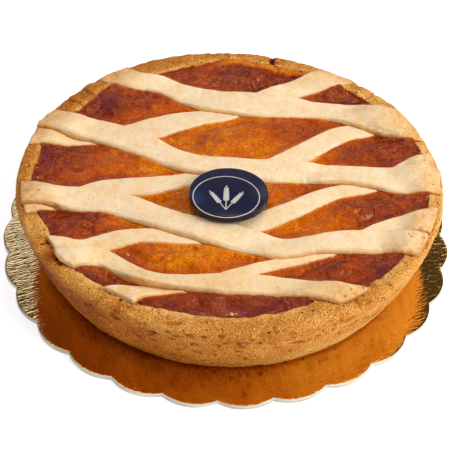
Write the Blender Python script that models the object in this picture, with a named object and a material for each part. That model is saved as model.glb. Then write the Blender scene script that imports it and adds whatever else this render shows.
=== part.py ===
"""A pastiera on the scalloped card that it is carried on.

A shortcrust case with a flared wall holds a wheat and ricotta filling, puffed and browned between
the strips. Four pastry strips lie over four others in a loose lattice, and a round plaque lies on top.

Lengths are in millimetres and places are counted from the pie's axis, until finish_piece() shifts the
piece and scales it to metres. +Z is up, the origin is under the middle of the card, and the front is
towards -Y.
"""

import math

import bmesh
import bpy
import numpy as np
from mathutils import Matrix, Vector, geometry

MM = 0.001
GAP = 0.3
SEED = 24

# The card
CARD_THICKNESS = 3.2
SCALLOPS = 28
SCALLOP_STEPS = 6
CARD_NOTCH_RADIUS = 136.3
CARD_TIP_RADIUS = 140.0
FIRST_NOTCH = math.radians(-90.6)
# The pie sits this far to the right of the card's middle
PIE_SHIFT = 0.8

# The crust
CRUST_BOTTOM = CARD_THICKNESS + GAP
CRUST_HEIGHT = 45.0
CRUST_SIDES = 120
BASE_RADIUS = 115.8
RIM_ROUND = 2.6
BASE_ROUND = 4.0
WALL_BULGE = 1.3
FLOOR_THICKNESS = 6.0
FLOOR_RADIUS = 105.0
LIP_DROP = 1.0
RIM_TOP = CRUST_BOTTOM + CRUST_HEIGHT
# How far the rim's outer edge is from the middle: every 30 degrees from +X towards +Y
RIM_RADII = (129.6, 129.3, 128.0, 128.0, 128.8, 129.0, 128.3, 128.0, 128.0, 128.0, 128.5, 129.2)
# The same of its inner edge, the lip, every 15 degrees
LIP_RADII = (
    (118.5, 121.0, 116.5, 116.8, 116.5, 115.0)
    + (119.0, 112.5, 110.5, 115.5, 112.0, 116.0)
    + (118.0, 117.0, 114.0, 116.5, 115.5, 115.0)
    + (115.2, 114.0, 111.8, 117.5, 118.5, 119.5)
)

# The filling
FILLING_LEVEL = RIM_TOP - 4.0
FILLING_BOTTOM = CRUST_BOTTOM + FLOOR_THICKNESS + GAP
FILLING_INSET = 0.9
FILLING_GRID = 7.2
PUFF_HEIGHT = 3.4
PUFF_REACH = 8.5
EDGE_PUFF = 0.25
# Each ripple of the puffed parts: its amount, its pace along X and along Y, and its phase
RIPPLES = ((0.25, 0.11, 0.05, 0.0), (0.2, 0.07, -0.13, 1.0))
LIP_CLEARANCE = 3.0
CROSSING_DIP = 2.0
CROSSING_REACH = 16.0
CROSSING_FADE = 9.0

# The strips: a cross-section, and places along each one as x, y and width
STRIP_THICKNESS = 3.6
PRESSED_THICKNESS = 2.8
STUCK_REACH = 4.0
END_THICKNESS = 1.5
END_REACH = 9.0
STRIP_STEP = 6.0
STRIP_MARGIN = 0.8
SHEAR_REACH = 14.0
SECTION = (
    ((-0.93, 0.0), (-0.33, 0.0), (0.33, 0.0), (0.93, 0.0), (1.0, 0.5))
    + ((0.86, 0.92), (0.0, 1.0), (-0.86, 0.92), (-1.0, 0.5))
)
# Each under-strip: its name, the radii that its ends are cut to, and its places
UNDER_STRIPS = (
    (
        "strip_under_1",
        (126.0, 125.0),
        ((-121, 29.5, 18), (-104, 30, 13.5), (-86, 34, 15), (-67, 37.5, 17.5), (-46, 44.5, 19))
        + ((-22, 55, 18), (-6, 62, 17), (18, 77.5, 17), (38, 87.5, 16), (52, 93.5, 15.5), (68, 101, 22.5)),
    ),
    (
        "strip_under_2",
        (123.5, 110.5),
        ((-117, -36.5, 13), (-100, -29, 13), (-86, -19.5, 13.5), (-73, -15.5, 14), (-56, -13.5, 14))
        + ((-38, -10, 14), (-18, -2.5, 14), (4, 3.5, 14), (28, 11.5, 14.5), (42, 20.5, 15))
        + ((54, 29.5, 15.5), (66, 39, 16), (77, 46.5, 16), (88, 50.5, 15), (99, 53, 12)),
    ),
    (
        "strip_under_3",
        (118.0, 126.0),
        ((-97, -67, 12), (-82, -67, 12.5), (-70, -62, 12.5), (-58, -57, 12.5), (-44, -53.7, 13))
        + ((-28, -53.5, 13), (-10, -51.5, 13), (8, -45, 13.5), (25, -37.5, 14), (40, -29, 13.5))
        + ((53, -19.5, 13.5), (67, -11.5, 13), (84, -5, 13), (99, 3.5, 14), (112, 10.5, 16), (126, 13.5, 19)),
    ),
    (
        "strip_under_4",
        (118.5, 125.5),
        ((-57, -104, 15), (-44, -98, 11), (-30, -93, 9.5), (-12, -89.5, 9), (5, -82, 8.5))
        + ((22, -75, 8.5), (40, -69, 8.5), (57, -61.5, 9.5), (72, -53, 10.5), (87, -45, 12))
        + ((102, -40, 14.5), (120, -37.5, 21)),
    ),
)
OVER_STRIPS = (
    (
        "strip_over_1",
        (126.5, 126.5),
        ((-79, 96.5, 22), (-66, 90.5, 17), (-54, 89, 14), (-42, 86, 16), (-30, 79.5, 19), (-14, 74.5, 22))
        + ((8, 71.5, 23), (34, 68, 20.5), (60, 66.5, 16.5), (78, 63, 19), (93, 57, 21.5))
        + ((106, 51.5, 24), (117, 49, 25)),
    ),
    (
        "strip_over_2",
        (126.5, 127.0),
        ((-116, 45.5, 21), (-100, 41, 21.5), (-84, 38, 20), (-66, 31, 18.5), (-47, 21, 18), (-34, 13.5, 17))
        + ((-18, 8.5, 17), (2, 6, 18), (22, 4, 18.5), (42, 3.5, 17), (58, 3.3, 16), (73, 3.3, 16))
        + ((88, 1, 18), (104, -2, 19.5), (127, -5.5, 17.5)),
    ),
    (
        "strip_over_3",
        (124.0, 125.5),
        ((-121, -25.5, 21), (-104, -26, 19.5), (-86, -27, 18), (-68, -29.5, 17), (-48, -36, 17.5))
        + ((-30, -43, 17), (-12, -49.5, 17.5), (4, -54.5, 17.5), (18, -59, 15.5), (32, -61.5, 15))
        + ((48, -58, 13.5), (63, -55.5, 16), (80, -55, 16), (97, -57, 15.5), (110.5, -60, 14.5)),
    ),
    (
        "strip_over_4",
        (118.0, 121.5),
        ((-92, -79.5, 13), (-80, -76.5, 12), (-69, -74.5, 10.5), (-60, -79, 11), (-50, -86, 12))
        + ((-37, -90, 9.5), (-20, -90.5, 9.5), (-2, -90.5, 13.5), (20, -91, 14), (44, -93.5, 14))
        + ((70, -99.5, 14),),
    ),
)

# The plaque, tilted so that its front edge is the higher one
PLAQUE_RADIUS = 23.3
PLAQUE_THICKNESS = 3.4
PLAQUE_BEVEL = 1.1
PLAQUE_PLACE = (0.3, -24.6)
PLAQUE_TILT = math.radians(-4)
PLAQUE_SIDES = 48

# The height maps that lay one layer of the pie over another
MAP_REACH = 145
RAISE_RADIUS = 7
SOFTEN_RADIUS = 4

# sRGB colours and roughness
CARD_LOOK = ("C9A24B", 0.35, 1.0)
CRUST_LOOK = ("C48645", 0.75, 0.0)
FILLING_LOOK = ("8A3A12", 0.4, 0.0)
STRIP_LOOK = ("EBCB9B", 0.7, 0.0)
PLAQUE_LOOK = ("1B1D33", 0.2, 0.0)


def smooth(value):
    """0 below 0, 1 above 1 and a soft step between."""
    value = np.clip(value, 0.0, 1.0)
    return value * value * (3.0 - 2.0 * value)


def wander(angle, amount, orders, seed):
    """A seeded sum of waves round the pie, so that no edge is a true circle."""
    rng = np.random.default_rng(seed)
    weights = rng.uniform(0.4, 1.0, len(orders))
    phases = rng.uniform(0.0, 2.0 * math.pi, len(orders))
    waves = [w * np.sin(n * angle + p) for w, n, p in zip(weights, orders, phases)]
    return amount * sum(waves) / weights.sum()


def curve_through(points, t):
    """The Catmull-Rom curve through the points, at t from 0 to len(points) - 1."""
    points = np.asarray(points, float)
    ends = (2 * points[0] - points[1], 2 * points[-1] - points[-2])
    padded = np.vstack([ends[0], points, ends[1]])
    start = np.clip(np.floor(t).astype(int), 0, len(points) - 2)
    u = (t - start)[:, None]
    a, b, c, d = (padded[start + k] for k in range(4))
    return 0.5 * (2 * b + (c - a) * u + (2 * a - 5 * b + 4 * c - d) * u**2 + (3 * b - a - 3 * c + d) * u**3)


def round_the_pie(angle, values):
    """The smooth closed curve through values that are spaced evenly round the pie."""
    turns = (np.asarray(angle, float) / (2 * math.pi)) % 1.0 * len(values)
    padded = np.array(values[-2:] + values + values[:2])[:, None]
    return curve_through(padded, turns.ravel() + 2)[:, 0].reshape(turns.shape)


def lip_radius(angle):
    return round_the_pie(angle, LIP_RADII) + wander(angle, 0.6, (17, 23, 31), SEED)


def rim_radius(angle):
    return round_the_pie(angle, RIM_RADII) + wander(angle, 0.4, (9, 14, 22), SEED + 1)


def rim_height(angle):
    return RIM_TOP + wander(angle, 0.5, (2, 3, 7, 11), SEED + 2)


def disc_offsets(radius):
    steps = range(-radius, radius + 1)
    return [(i, j) for i in steps for j in steps if i * i + j * j <= radius * radius]


class HeightMap:
    """Heights on a square grid of 1 mm cells, read between cells by bilinear interpolation."""

    axis = np.arange(-MAP_REACH, MAP_REACH + 1, dtype=float)
    x, y = np.meshgrid(axis, axis, indexing="ij")
    radius = np.hypot(x, y)
    angle = np.arctan2(y, x)

    def __init__(self, heights):
        self.heights = heights

    def at(self, x, y):
        u = np.clip(np.asarray(x, float) + MAP_REACH, 0, 2 * MAP_REACH - 1e-6)
        v = np.clip(np.asarray(y, float) + MAP_REACH, 0, 2 * MAP_REACH - 1e-6)
        i = u.astype(int)
        j = v.astype(int)
        u = u - i
        v = v - j
        h = self.heights
        near = h[i, j] * (1 - u) + h[i + 1, j] * u
        far = h[i, j + 1] * (1 - u) + h[i + 1, j + 1] * u
        return near * (1 - v) + far * v

    def draped(self):
        """A soft sheet laid on this map: it rounds off each step and never dips below the map."""
        near = disc_offsets(RAISE_RADIUS)
        raised = np.max([np.roll(self.heights, o, (0, 1)) for o in near], axis=0)
        around = disc_offsets(SOFTEN_RADIUS)
        return HeightMap(np.mean([np.roll(raised, o, (0, 1)) for o in around], axis=0))


class Strip:
    """One pastry strip: its centre line, its width and how far each place is from its edge."""

    def __init__(self, name, end_radii, places):
        self.name = name
        dense = curve_through(places, np.linspace(0, len(places) - 1, 400))
        along = np.concatenate([[0], np.cumsum(np.hypot(*np.diff(dense[:, :2], axis=0).T))])
        count = int(round(along[-1] / STRIP_STEP))
        stations = np.linspace(0, along[-1], count + 1)
        self.line = np.stack([np.interp(stations, along, dense[:, k]) for k in range(3)], axis=1)
        tangent = np.gradient(self.line[:, :2], axis=0)
        self.tangent = tangent / np.linalg.norm(tangent, axis=1)[:, None]
        self.normal = np.stack([-self.tangent[:, 1], self.tangent[:, 0]], axis=1)
        self.stations = stations
        self.end_radii = end_radii
        offsets = np.stack([HeightMap.x, HeightMap.y], axis=-1)[..., None, :] - dense[::4, :2]
        distance = np.hypot(offsets[..., 0], offsets[..., 1]) - dense[::4, 2] / 2
        self.outside = distance.min(axis=-1)

    def end_shift(self, end, across):
        """How far an end's point slides along the strip to lie on the circle that cuts the end."""
        place = self.line[end, :2] + across * self.normal[end]
        direction = self.tangent[end]
        middle = place @ direction
        reach = math.sqrt(middle**2 - place @ place + self.end_radii[end] ** 2)
        return -middle + math.copysign(reach, self.line[end, :2] @ direction)

    def place(self, station, across):
        """The plan position of a point of the cross-section, -1 to 1 across."""
        offset = across * self.line[station, 2] / 2
        xy = self.line[station, :2] + offset * self.normal[station]
        for end, gone in ((0, self.stations[station]), (-1, self.stations[-1] - self.stations[station])):
            share = smooth(1 - gone / SHEAR_REACH)
            xy = xy + share * self.end_shift(end, offset) * self.tangent[station]
        return xy


def crossing_map(overs, unders):
    """1 where an over-strip lies on an under-strip, fading to 0 away from there."""
    layers = [np.min([strip.outside for strip in strips], axis=0) for strips in (overs, unders)]
    return HeightMap(smooth((CROSSING_REACH - np.maximum(*layers)) / CROSSING_FADE))


def thickness_map(crossed, lip):
    """Strips are pressed thinner where they cross and where they are stuck to the rim."""
    stuck = smooth((HeightMap.radius - lip.heights + STUCK_REACH) / (2 * STUCK_REACH))
    pressed = np.maximum(crossed.heights, stuck)
    return HeightMap(STRIP_THICKNESS + (PRESSED_THICKNESS - STRIP_THICKNESS) * pressed)


def layer_top(strips, bed, thickness, below):
    """The top of a layer of strips, and the layer below where none of them lies."""
    covered = np.min([strip.outside for strip in strips], axis=0) < STRIP_MARGIN
    return HeightMap(np.where(covered, bed.heights + GAP + thickness.heights, below.heights))


def srgb(code):
    values = [int(code[k : k + 2], 16) / 255 for k in (0, 2, 4)]
    linear = [v / 12.92 if v <= 0.04045 else ((v + 0.055) / 1.055) ** 2.4 for v in values]
    return (*linear, 1.0)


def finish_piece(name, shape, look, shift=PIE_SHIFT):
    """Shifts a bmesh, scales it from millimetres to metres and links it as an object."""
    bmesh.ops.translate(shape, vec=(shift, 0, 0), verts=shape.verts)
    bmesh.ops.scale(shape, vec=(MM, MM, MM), verts=shape.verts)
    bmesh.ops.recalc_face_normals(shape, faces=shape.faces)
    mesh = bpy.data.meshes.new(name)
    shape.to_mesh(mesh)
    shape.free()
    mesh.shade_smooth()
    mesh.set_sharp_from_angle(angle=math.radians(40))
    material = bpy.data.materials.new(name)
    material.use_nodes = True
    principled = material.node_tree.nodes["Principled BSDF"]
    colour, roughness, metallic = look
    principled.inputs["Base Color"].default_value = srgb(colour)
    principled.inputs["Roughness"].default_value = roughness
    principled.inputs["Metallic"].default_value = metallic
    mesh.materials.append(material)
    piece = bpy.data.objects.new(name, mesh)
    bpy.context.scene.collection.objects.link(piece)


def join_loops(shape, loops):
    """Skins a row of closed loops of equal length with quads."""
    for low, high in zip(loops, loops[1:]):
        for k in range(len(low)):
            after = (k + 1) % len(low)
            shape.faces.new((low[k], low[after], high[after], high[k]))


def cap_loop(shape, loop, height):
    """Closes a round loop with a fan about a point on the axis."""
    middle = shape.verts.new((0, 0, height))
    for k in range(len(loop)):
        shape.faces.new((loop[k], loop[(k + 1) % len(loop)], middle))


def make_card():
    """Scallops are arcs between notches, so their outline follows from the notch and tip radii."""
    half_angle = math.pi / SCALLOPS
    half_chord = CARD_NOTCH_RADIUS * math.sin(half_angle)
    rise = CARD_TIP_RADIUS - CARD_NOTCH_RADIUS * math.cos(half_angle)
    arc_radius = (half_chord**2 + rise**2) / (2 * rise)
    arc_centre = CARD_TIP_RADIUS - arc_radius
    swing = math.asin(half_chord / arc_radius)
    shape = bmesh.new()
    loops = ([], [])
    for k in range(SCALLOPS):
        middle = FIRST_NOTCH + (2 * k + 1) * half_angle
        for step in range(SCALLOP_STEPS):
            turn = middle - swing + 2 * swing * step / SCALLOP_STEPS
            x = arc_centre * math.cos(middle) + arc_radius * math.cos(turn)
            y = arc_centre * math.sin(middle) + arc_radius * math.sin(turn)
            for loop, z in zip(loops, (0.0, CARD_THICKNESS)):
                loop.append(shape.verts.new((x, y, z)))
    join_loops(shape, loops)
    for loop, z in zip(loops, (0.0, CARD_THICKNESS)):
        cap_loop(shape, loop, z)
    finish_piece("card", shape, CARD_LOOK, shift=0.0)


def wall_point(angle, share):
    """A point of the crust's outer wall, from its base at share 0 to the foot of the rim at 1."""
    rim = float(rim_radius(angle))
    radius = BASE_RADIUS + (rim - BASE_RADIUS) * share + WALL_BULGE * math.sin(math.pi * share)
    low = CRUST_BOTTOM + BASE_ROUND
    high = float(rim_height(angle)) - RIM_ROUND
    return radius, low + (high - low) * share


def crust_profile(angle):
    """Radius and height round the crust's section, from under its base over the rim to its floor."""
    lip = float(lip_radius(angle))
    rim = float(rim_radius(angle))
    top = float(rim_height(angle))
    floor = CRUST_BOTTOM + FLOOR_THICKNESS
    bend = math.sqrt(0.5)
    return [
        (BASE_RADIUS - BASE_ROUND, CRUST_BOTTOM),
        (BASE_RADIUS - BASE_ROUND * (1 - bend), CRUST_BOTTOM + BASE_ROUND * (1 - bend)),
        *(wall_point(angle, share) for share in (0.0, 0.33, 0.67, 1.0)),
        (rim - RIM_ROUND * (1 - bend), top - RIM_ROUND * (1 - bend)),
        (rim - RIM_ROUND, top),
        (lip + LIP_DROP, top),
        (lip, top - LIP_DROP),
        (FLOOR_RADIUS, floor),
    ]


def make_crust():
    shape = bmesh.new()
    angles = [2 * math.pi * k / CRUST_SIDES for k in range(CRUST_SIDES)]
    sections = [crust_profile(angle) for angle in angles]
    loops = []
    for ring in range(len(sections[0])):
        loop = []
        for angle, section in zip(angles, sections):
            radius, height = section[ring]
            loop.append(shape.verts.new((radius * math.cos(angle), radius * math.sin(angle), height)))
        loops.append(loop)
    join_loops(shape, loops)
    cap_loop(shape, loops[0], CRUST_BOTTOM)
    cap_loop(shape, loops[-1], CRUST_BOTTOM + FLOOR_THICKNESS)
    finish_piece("crust", shape, CRUST_LOOK)


def make_strip(strip, under, thickness):
    """Lays the strip's cross-section on the height map under it, station by station."""
    shape = bmesh.new()
    loops = []
    for station in range(len(strip.line)):
        loop = []
        to_end = min(strip.stations[station], strip.stations[-1] - strip.stations[station])
        for across, up in SECTION:
            x, y = strip.place(station, across)
            thick = END_THICKNESS + (float(thickness.at(x, y)) - END_THICKNESS) * smooth(to_end / END_REACH)
            loop.append(shape.verts.new((x, y, float(under.at(x, y)) + GAP + up * thick)))
        loops.append(loop)
    join_loops(shape, loops)
    for loop in (loops[0], loops[-1]):
        shape.faces.new(loop)
    bmesh.ops.triangulate(shape, faces=[face for face in shape.faces if len(face.verts) > 4])
    finish_piece(strip.name, shape, STRIP_LOOK)


def outline_points(strip, clearance):
    """The strip's outline, a little outside its edge, as runs of points that lie on the filling."""
    runs = []
    widths = strip.line[:, 2] / 2 + STRIP_MARGIN
    for side in (-1, 1):
        points = strip.line[:, :2] + side * widths[:, None] * strip.normal
        radius = np.hypot(points[:, 0], points[:, 1])
        angle = np.arctan2(points[:, 1], points[:, 0])
        inside = radius < lip_radius(angle) - clearance
        runs.append([Vector(point) for point, kept in zip(points, inside) if kept])
    return runs


def filling_height(x, y, level, outside, lip):
    """The filling puffs up between the strips and sinks a little towards the crust."""
    rise = smooth((float(outside.at(x, y)) - STRIP_MARGIN) / PUFF_REACH)
    to_lip = float(lip.at(x, y)) - math.hypot(x, y)
    rise *= EDGE_PUFF + (1 - EDGE_PUFF) * smooth(to_lip / PUFF_REACH)
    ripple = 1 + sum(amount * math.sin(u * x + v * y + phase) for amount, u, v, phase in RIPPLES)
    return float(level.at(x, y)) + PUFF_HEIGHT * rise * ripple


def make_filling(strips, level, lip):
    shape = bmesh.new()
    outside = HeightMap(np.min([strip.outside for strip in strips], axis=0))
    angles = np.array([2 * math.pi * k / CRUST_SIDES for k in range(CRUST_SIDES)])
    wall_top = rim_height(angles) - LIP_DROP
    floor = CRUST_BOTTOM + FLOOR_THICKNESS
    share = (FILLING_LEVEL - floor) / (wall_top - floor)
    edge = FLOOR_RADIUS + (lip_radius(angles) - FLOOR_RADIUS) * share - FILLING_INSET

    points = [Vector((r * math.cos(a), r * math.sin(a))) for r, a in zip(edge, angles)]
    edges = [(k, (k + 1) % CRUST_SIDES) for k in range(CRUST_SIDES)]
    for strip in strips:
        for run in outline_points(strip, LIP_CLEARANCE):
            first = len(points)
            points.extend(run)
            edges.extend((k, k + 1) for k in range(first, len(points) - 1))
    rows = int(max(RIM_RADII) / (FILLING_GRID * math.sqrt(0.75)))
    for row in range(-rows, rows + 1):
        for column in range(-rows, rows + 1):
            x = FILLING_GRID * (column + 0.5 * (row % 2))
            y = FILLING_GRID * math.sqrt(0.75) * row
            angle = math.atan2(y, x)
            near_edge = math.hypot(x, y) > float(lip_radius(angle)) - 2 * LIP_CLEARANCE
            if not near_edge and abs(float(outside.at(x, y)) - STRIP_MARGIN) > 0.4 * FILLING_GRID:
                points.append(Vector((x, y)))

    verts, _, faces, *_ = geometry.delaunay_2d_cdt(points, edges, [], 0, 0.05)
    rim_loop = [Vector((r * math.cos(a), r * math.sin(a))) for r, a in zip(edge, angles)]
    top = []
    for x, y in verts:
        top.append(shape.verts.new((x, y, filling_height(x, y, level, outside, lip))))
    for face in faces:
        middle = sum((verts[k] for k in face), Vector((0, 0))) / len(face)
        if inside_loop(middle, rim_loop):
            shape.faces.new([top[k] for k in face])
    bottom_radius = FLOOR_RADIUS - FILLING_INSET
    bottom = [shape.verts.new((*(bottom_radius * p.normalized()), FILLING_BOTTOM)) for p in rim_loop]
    nearest = [min(range(len(verts)), key=lambda k: (verts[k] - p).length) for p in rim_loop]
    join_loops(shape, [bottom, [top[k] for k in nearest]])
    cap_loop(shape, bottom, FILLING_BOTTOM)
    loose = [vert for vert in shape.verts if not vert.link_faces]
    bmesh.ops.delete(shape, geom=loose, context="VERTS")
    finish_piece("filling", shape, FILLING_LOOK)


def inside_loop(point, loop):
    """Whether a point is inside a closed plan outline that goes once round the axis."""
    turn = math.atan2(point.y, point.x) / (2 * math.pi) * len(loop)
    first = math.floor(turn) % len(loop)
    a = loop[first]
    b = loop[(first + 1) % len(loop)]
    return (b - a).cross(point - a) > 0


def make_plaque(tops):
    """A bevelled disc, tilted a little, that lies on the highest strips under it."""
    x, y = PLAQUE_PLACE
    under = np.hypot(HeightMap.x - x, HeightMap.y - y) < PLAQUE_RADIUS
    slope = math.tan(PLAQUE_TILT) * (HeightMap.y - y)
    rest = (tops.heights - slope)[under].max() + GAP
    shape = bmesh.new()
    bmesh.ops.create_cone(
        shape,
        cap_ends=True,
        segments=PLAQUE_SIDES,
        radius1=PLAQUE_RADIUS,
        radius2=PLAQUE_RADIUS,
        depth=PLAQUE_THICKNESS,
    )
    upper = [e for e in shape.edges if all(v.co.z > 0 for v in e.verts)]
    bmesh.ops.bevel(shape, geom=upper, offset=PLAQUE_BEVEL, segments=3, profile=0.5, affect="EDGES")
    bmesh.ops.rotate(shape, matrix=Matrix.Rotation(PLAQUE_TILT, 3, "X"), verts=shape.verts)
    bmesh.ops.translate(shape, vec=(x, y, rest + PLAQUE_THICKNESS / 2), verts=shape.verts)
    finish_piece("plaque", shape, PLAQUE_LOOK)


def main():
    for old in list(bpy.data.objects):
        bpy.data.objects.remove(old)
    unders = [Strip(*row) for row in UNDER_STRIPS]
    overs = [Strip(*row) for row in OVER_STRIPS]
    lip = HeightMap(lip_radius(HeightMap.angle.ravel()).reshape(HeightMap.angle.shape))
    crossed = crossing_map(overs, unders)
    thickness = thickness_map(crossed, lip)
    level = HeightMap(FILLING_LEVEL - CROSSING_DIP * crossed.heights)
    on_rim = HeightMap.radius > lip.heights - STRIP_MARGIN
    bed = HeightMap(np.where(on_rim, rim_height(HeightMap.angle), level.heights))
    under_bed = bed.draped()
    under_top = layer_top(unders, under_bed, thickness, bed)
    over_bed = under_top.draped()
    over_top = layer_top(overs, over_bed, thickness, under_top)

    make_card()
    make_crust()
    make_filling(unders + overs, level, lip)
    for strip in unders:
        make_strip(strip, under_bed, thickness)
    for strip in overs:
        make_strip(strip, over_bed, thickness)
    make_plaque(over_top)


main()
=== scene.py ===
"""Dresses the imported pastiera: foil card, shortcrust, custard, pastry strips, plaque and crumbs."""

import math

import bpy
import numpy as np
from mathutils import Matrix, Vector
from mathutils.bvhtree import BVHTree
from mathutils.kdtree import KDTree


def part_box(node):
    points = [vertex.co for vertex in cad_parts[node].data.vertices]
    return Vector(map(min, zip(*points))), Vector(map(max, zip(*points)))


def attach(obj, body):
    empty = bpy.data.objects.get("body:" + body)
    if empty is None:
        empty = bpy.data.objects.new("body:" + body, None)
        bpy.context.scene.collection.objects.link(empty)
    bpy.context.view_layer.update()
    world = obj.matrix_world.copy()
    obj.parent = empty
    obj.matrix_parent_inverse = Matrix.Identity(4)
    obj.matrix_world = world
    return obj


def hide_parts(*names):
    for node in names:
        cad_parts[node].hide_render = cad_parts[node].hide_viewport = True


bl_info = {
    "name": "Pastiera",
    "version": (1, 0, 0),
    "blender": (4, 5, 0),
    "location": "3D View > Sidebar > Pastiera",
    "description": "Dresses a packed pastiera: foil card, shortcrust, custard, strips, plaque, crumbs",
    "category": "Object",
}

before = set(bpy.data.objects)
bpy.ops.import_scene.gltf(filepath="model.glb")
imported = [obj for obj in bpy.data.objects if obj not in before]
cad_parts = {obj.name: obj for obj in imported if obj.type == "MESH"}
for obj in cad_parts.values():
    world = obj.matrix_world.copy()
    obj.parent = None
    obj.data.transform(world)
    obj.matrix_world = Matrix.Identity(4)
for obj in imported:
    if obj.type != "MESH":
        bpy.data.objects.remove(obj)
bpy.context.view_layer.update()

MM = 0.001
UP = Vector((0, 0, 1))
PIE_X = 0.8 * MM  # the pie stands this far to the right of the card's middle
CARD_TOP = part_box("card")[1].z
RIM_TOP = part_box("crust")[1].z
RIM_ROUND = 3.7 * MM
RIM_ROUND_LESS = 1.7 * MM  # how much less the rim is rounded behind than at its sides
CUSTARD_BITE = 1.0 * MM  # how far the custard's rim reaches into the crust
CUSTARD_EDGE = RIM_TOP - 2.0 * MM  # its level where it meets the crust
CUSTARD_GRIP = 1.9 * MM  # how far it climbs the side of a strip
CUSTARD_CLIMB = 2.6 * MM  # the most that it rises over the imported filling
STRIP_NAMES = [f"strip_{layer}_{k}" for layer in ("under", "over") for k in range(1, 5)]


# ---------------------------------------------------------------- helpers


def srgb(code):
    """A colour picked as sRGB hex, as the linear values that shaders work in."""
    values = [int(code[k : k + 2], 16) / 255 for k in (0, 2, 4)]
    linear = [v / 12.92 if v <= 0.04045 else ((v + 0.055) / 1.055) ** 2.4 for v in values]
    return (*linear, 1.0)


def smooth(value):
    """Eases from 0 to 1 as the value goes from 0 to 1, and stays there outside."""
    value = np.clip(value, 0, 1)
    return value * value * (3 - 2 * value)


def ease(value, start, end):
    """Eases from 0 where a length is start to 1 where it is end, both in mm."""
    return smooth((value - start * MM) / ((end - start) * MM))


def noise(points, size, seed):
    """Smooth noise from -1 to 1 at the points, with lumps of the given size."""
    spots = np.asarray(points) / size
    cells = np.floor(spots).astype(np.int64)
    part = smooth(spots - cells)
    total = np.zeros(len(spots))
    # Large odd numbers scramble a cell's place into a value that looks random and never changes.
    for corner in np.ndindex(*(2,) * spots.shape[1]):
        key = (cells + corner) @ np.array((73856093, 19349663, 83492791))[: spots.shape[1]]
        key = (key + seed * 2654435761) * 1274126177
        key = (key ^ (key >> 15)) * 668265263
        value = ((key ^ (key >> 13)) & 65535) / 32767.5 - 1
        total += value * np.prod(np.where(corner, part, 1 - part), axis=1)
    return total


def add(tree, kind, inputs=None, stops=None, **settings):
    """Adds a node, sets its properties, values and colour stops, and links sockets given as values."""
    node = tree.nodes.new(kind)
    for name, value in settings.items():
        setattr(node, name, value)
    for key, value in (inputs or {}).items():
        if isinstance(value, bpy.types.NodeSocket):
            tree.links.new(value, node.inputs[key])
        else:
            node.inputs[key].default_value = value
    if stops:
        elements = node.color_ramp.elements
        while len(elements) < len(stops):
            elements.new(0.5)
        for element, (place, colour) in zip(elements, stops):
            element.position = place
            element.color = tuple(colour)
    return node


def new_material(name):
    """An empty material, the node tree to build in, and the piece's own coordinates in metres."""
    material = bpy.data.materials.new(name)
    material.use_nodes = True
    tree = material.node_tree
    tree.nodes.clear()
    return material, tree, add(tree, "ShaderNodeTexCoord").outputs["Object"]


def finish_material(tree, inputs):
    """Ends a tree in one Principled shader."""
    shader = add(tree, "ShaderNodeBsdfPrincipled", inputs)
    output = add(tree, "ShaderNodeOutputMaterial")
    tree.links.new(shader.outputs["BSDF"], output.inputs["Surface"])


def only(piece):
    """Makes a piece the one selected and active object."""
    bpy.ops.object.select_all(action="DESELECT")
    bpy.context.view_layer.objects.active = piece
    piece.select_set(True)


def merged_copy(name, node):
    """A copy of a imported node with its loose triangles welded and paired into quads."""
    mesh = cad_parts[node].data.copy()
    mesh.name = name
    mesh.materials.clear()
    piece = bpy.data.objects.new(name, mesh)
    bpy.context.scene.collection.objects.link(piece)
    only(piece)
    bpy.ops.object.mode_set(mode="EDIT")
    bpy.ops.mesh.select_all(action="SELECT")
    bpy.ops.mesh.remove_doubles(threshold=0.001 * MM)
    bpy.ops.mesh.tris_convert_to_quads(face_threshold=0.9, shape_threshold=0.9)
    bpy.ops.object.mode_set(mode="OBJECT")
    bpy.ops.mesh.customdata_custom_splitnormals_clear()
    bpy.ops.object.shade_smooth()
    return piece


def modify(piece, kind, **settings):
    """Adds a modifier with its settings and applies it."""
    only(piece)
    bpy.ops.object.modifier_add(type=kind)
    modifier = piece.modifiers[-1]
    for name, value in settings.items():
        setattr(modifier, name, value)
    bpy.ops.object.modifier_apply(modifier=modifier.name)


def choose(piece, kind, chosen):
    """Goes into edit mode with only the chosen edges or faces selected."""
    only(piece)
    bpy.ops.object.mode_set(mode="EDIT")
    bpy.ops.mesh.select_mode(type=kind)
    bpy.ops.mesh.select_all(action="DESELECT")
    bpy.ops.object.mode_set(mode="OBJECT")
    for item in piece.data.edges if kind == "EDGE" else piece.data.polygons:
        item.select = chosen(item)
    bpy.ops.object.mode_set(mode="EDIT")


def hold_edges(piece, angle, weight):
    """Keeps the edges that are sharper than an angle crisp through the subdivision that follows."""
    only(piece)
    bpy.ops.object.mode_set(mode="EDIT")
    bpy.ops.mesh.select_mode(type="EDGE")
    bpy.ops.mesh.select_all(action="DESELECT")
    bpy.ops.mesh.edges_select_sharp(sharpness=angle)
    bpy.ops.transform.edge_crease(value=weight)
    bpy.ops.object.mode_set(mode="OBJECT")


def subdivide(piece, levels):
    """Smooths a piece into a finer mesh."""
    modify(piece, "SUBSURF", levels=levels, render_levels=levels)


def roughen(piece, lumps):
    """Raises and sinks the surface in lumps, each given by its size and its height in mm."""
    for size, height in lumps:
        texture = bpy.data.textures.new(f"{piece.name}_{size}", "CLOUDS")
        texture.noise_scale = size * MM
        modify(
            piece,
            "DISPLACE",
            texture=texture,
            texture_coords="LOCAL",
            strength=height * MM,
            mid_level=0.5,
        )


def thicken(height):
    """Draws the flat active piece up into a plate with its faces outward."""
    bpy.ops.object.mode_set(mode="EDIT")
    bpy.ops.mesh.select_all(action="SELECT")
    bpy.ops.mesh.extrude_region_move(TRANSFORM_OT_translate={"value": (0, 0, height)})
    bpy.ops.mesh.select_all(action="SELECT")
    bpy.ops.mesh.normals_make_consistent(inside=False)
    bpy.ops.object.mode_set(mode="OBJECT")


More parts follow.
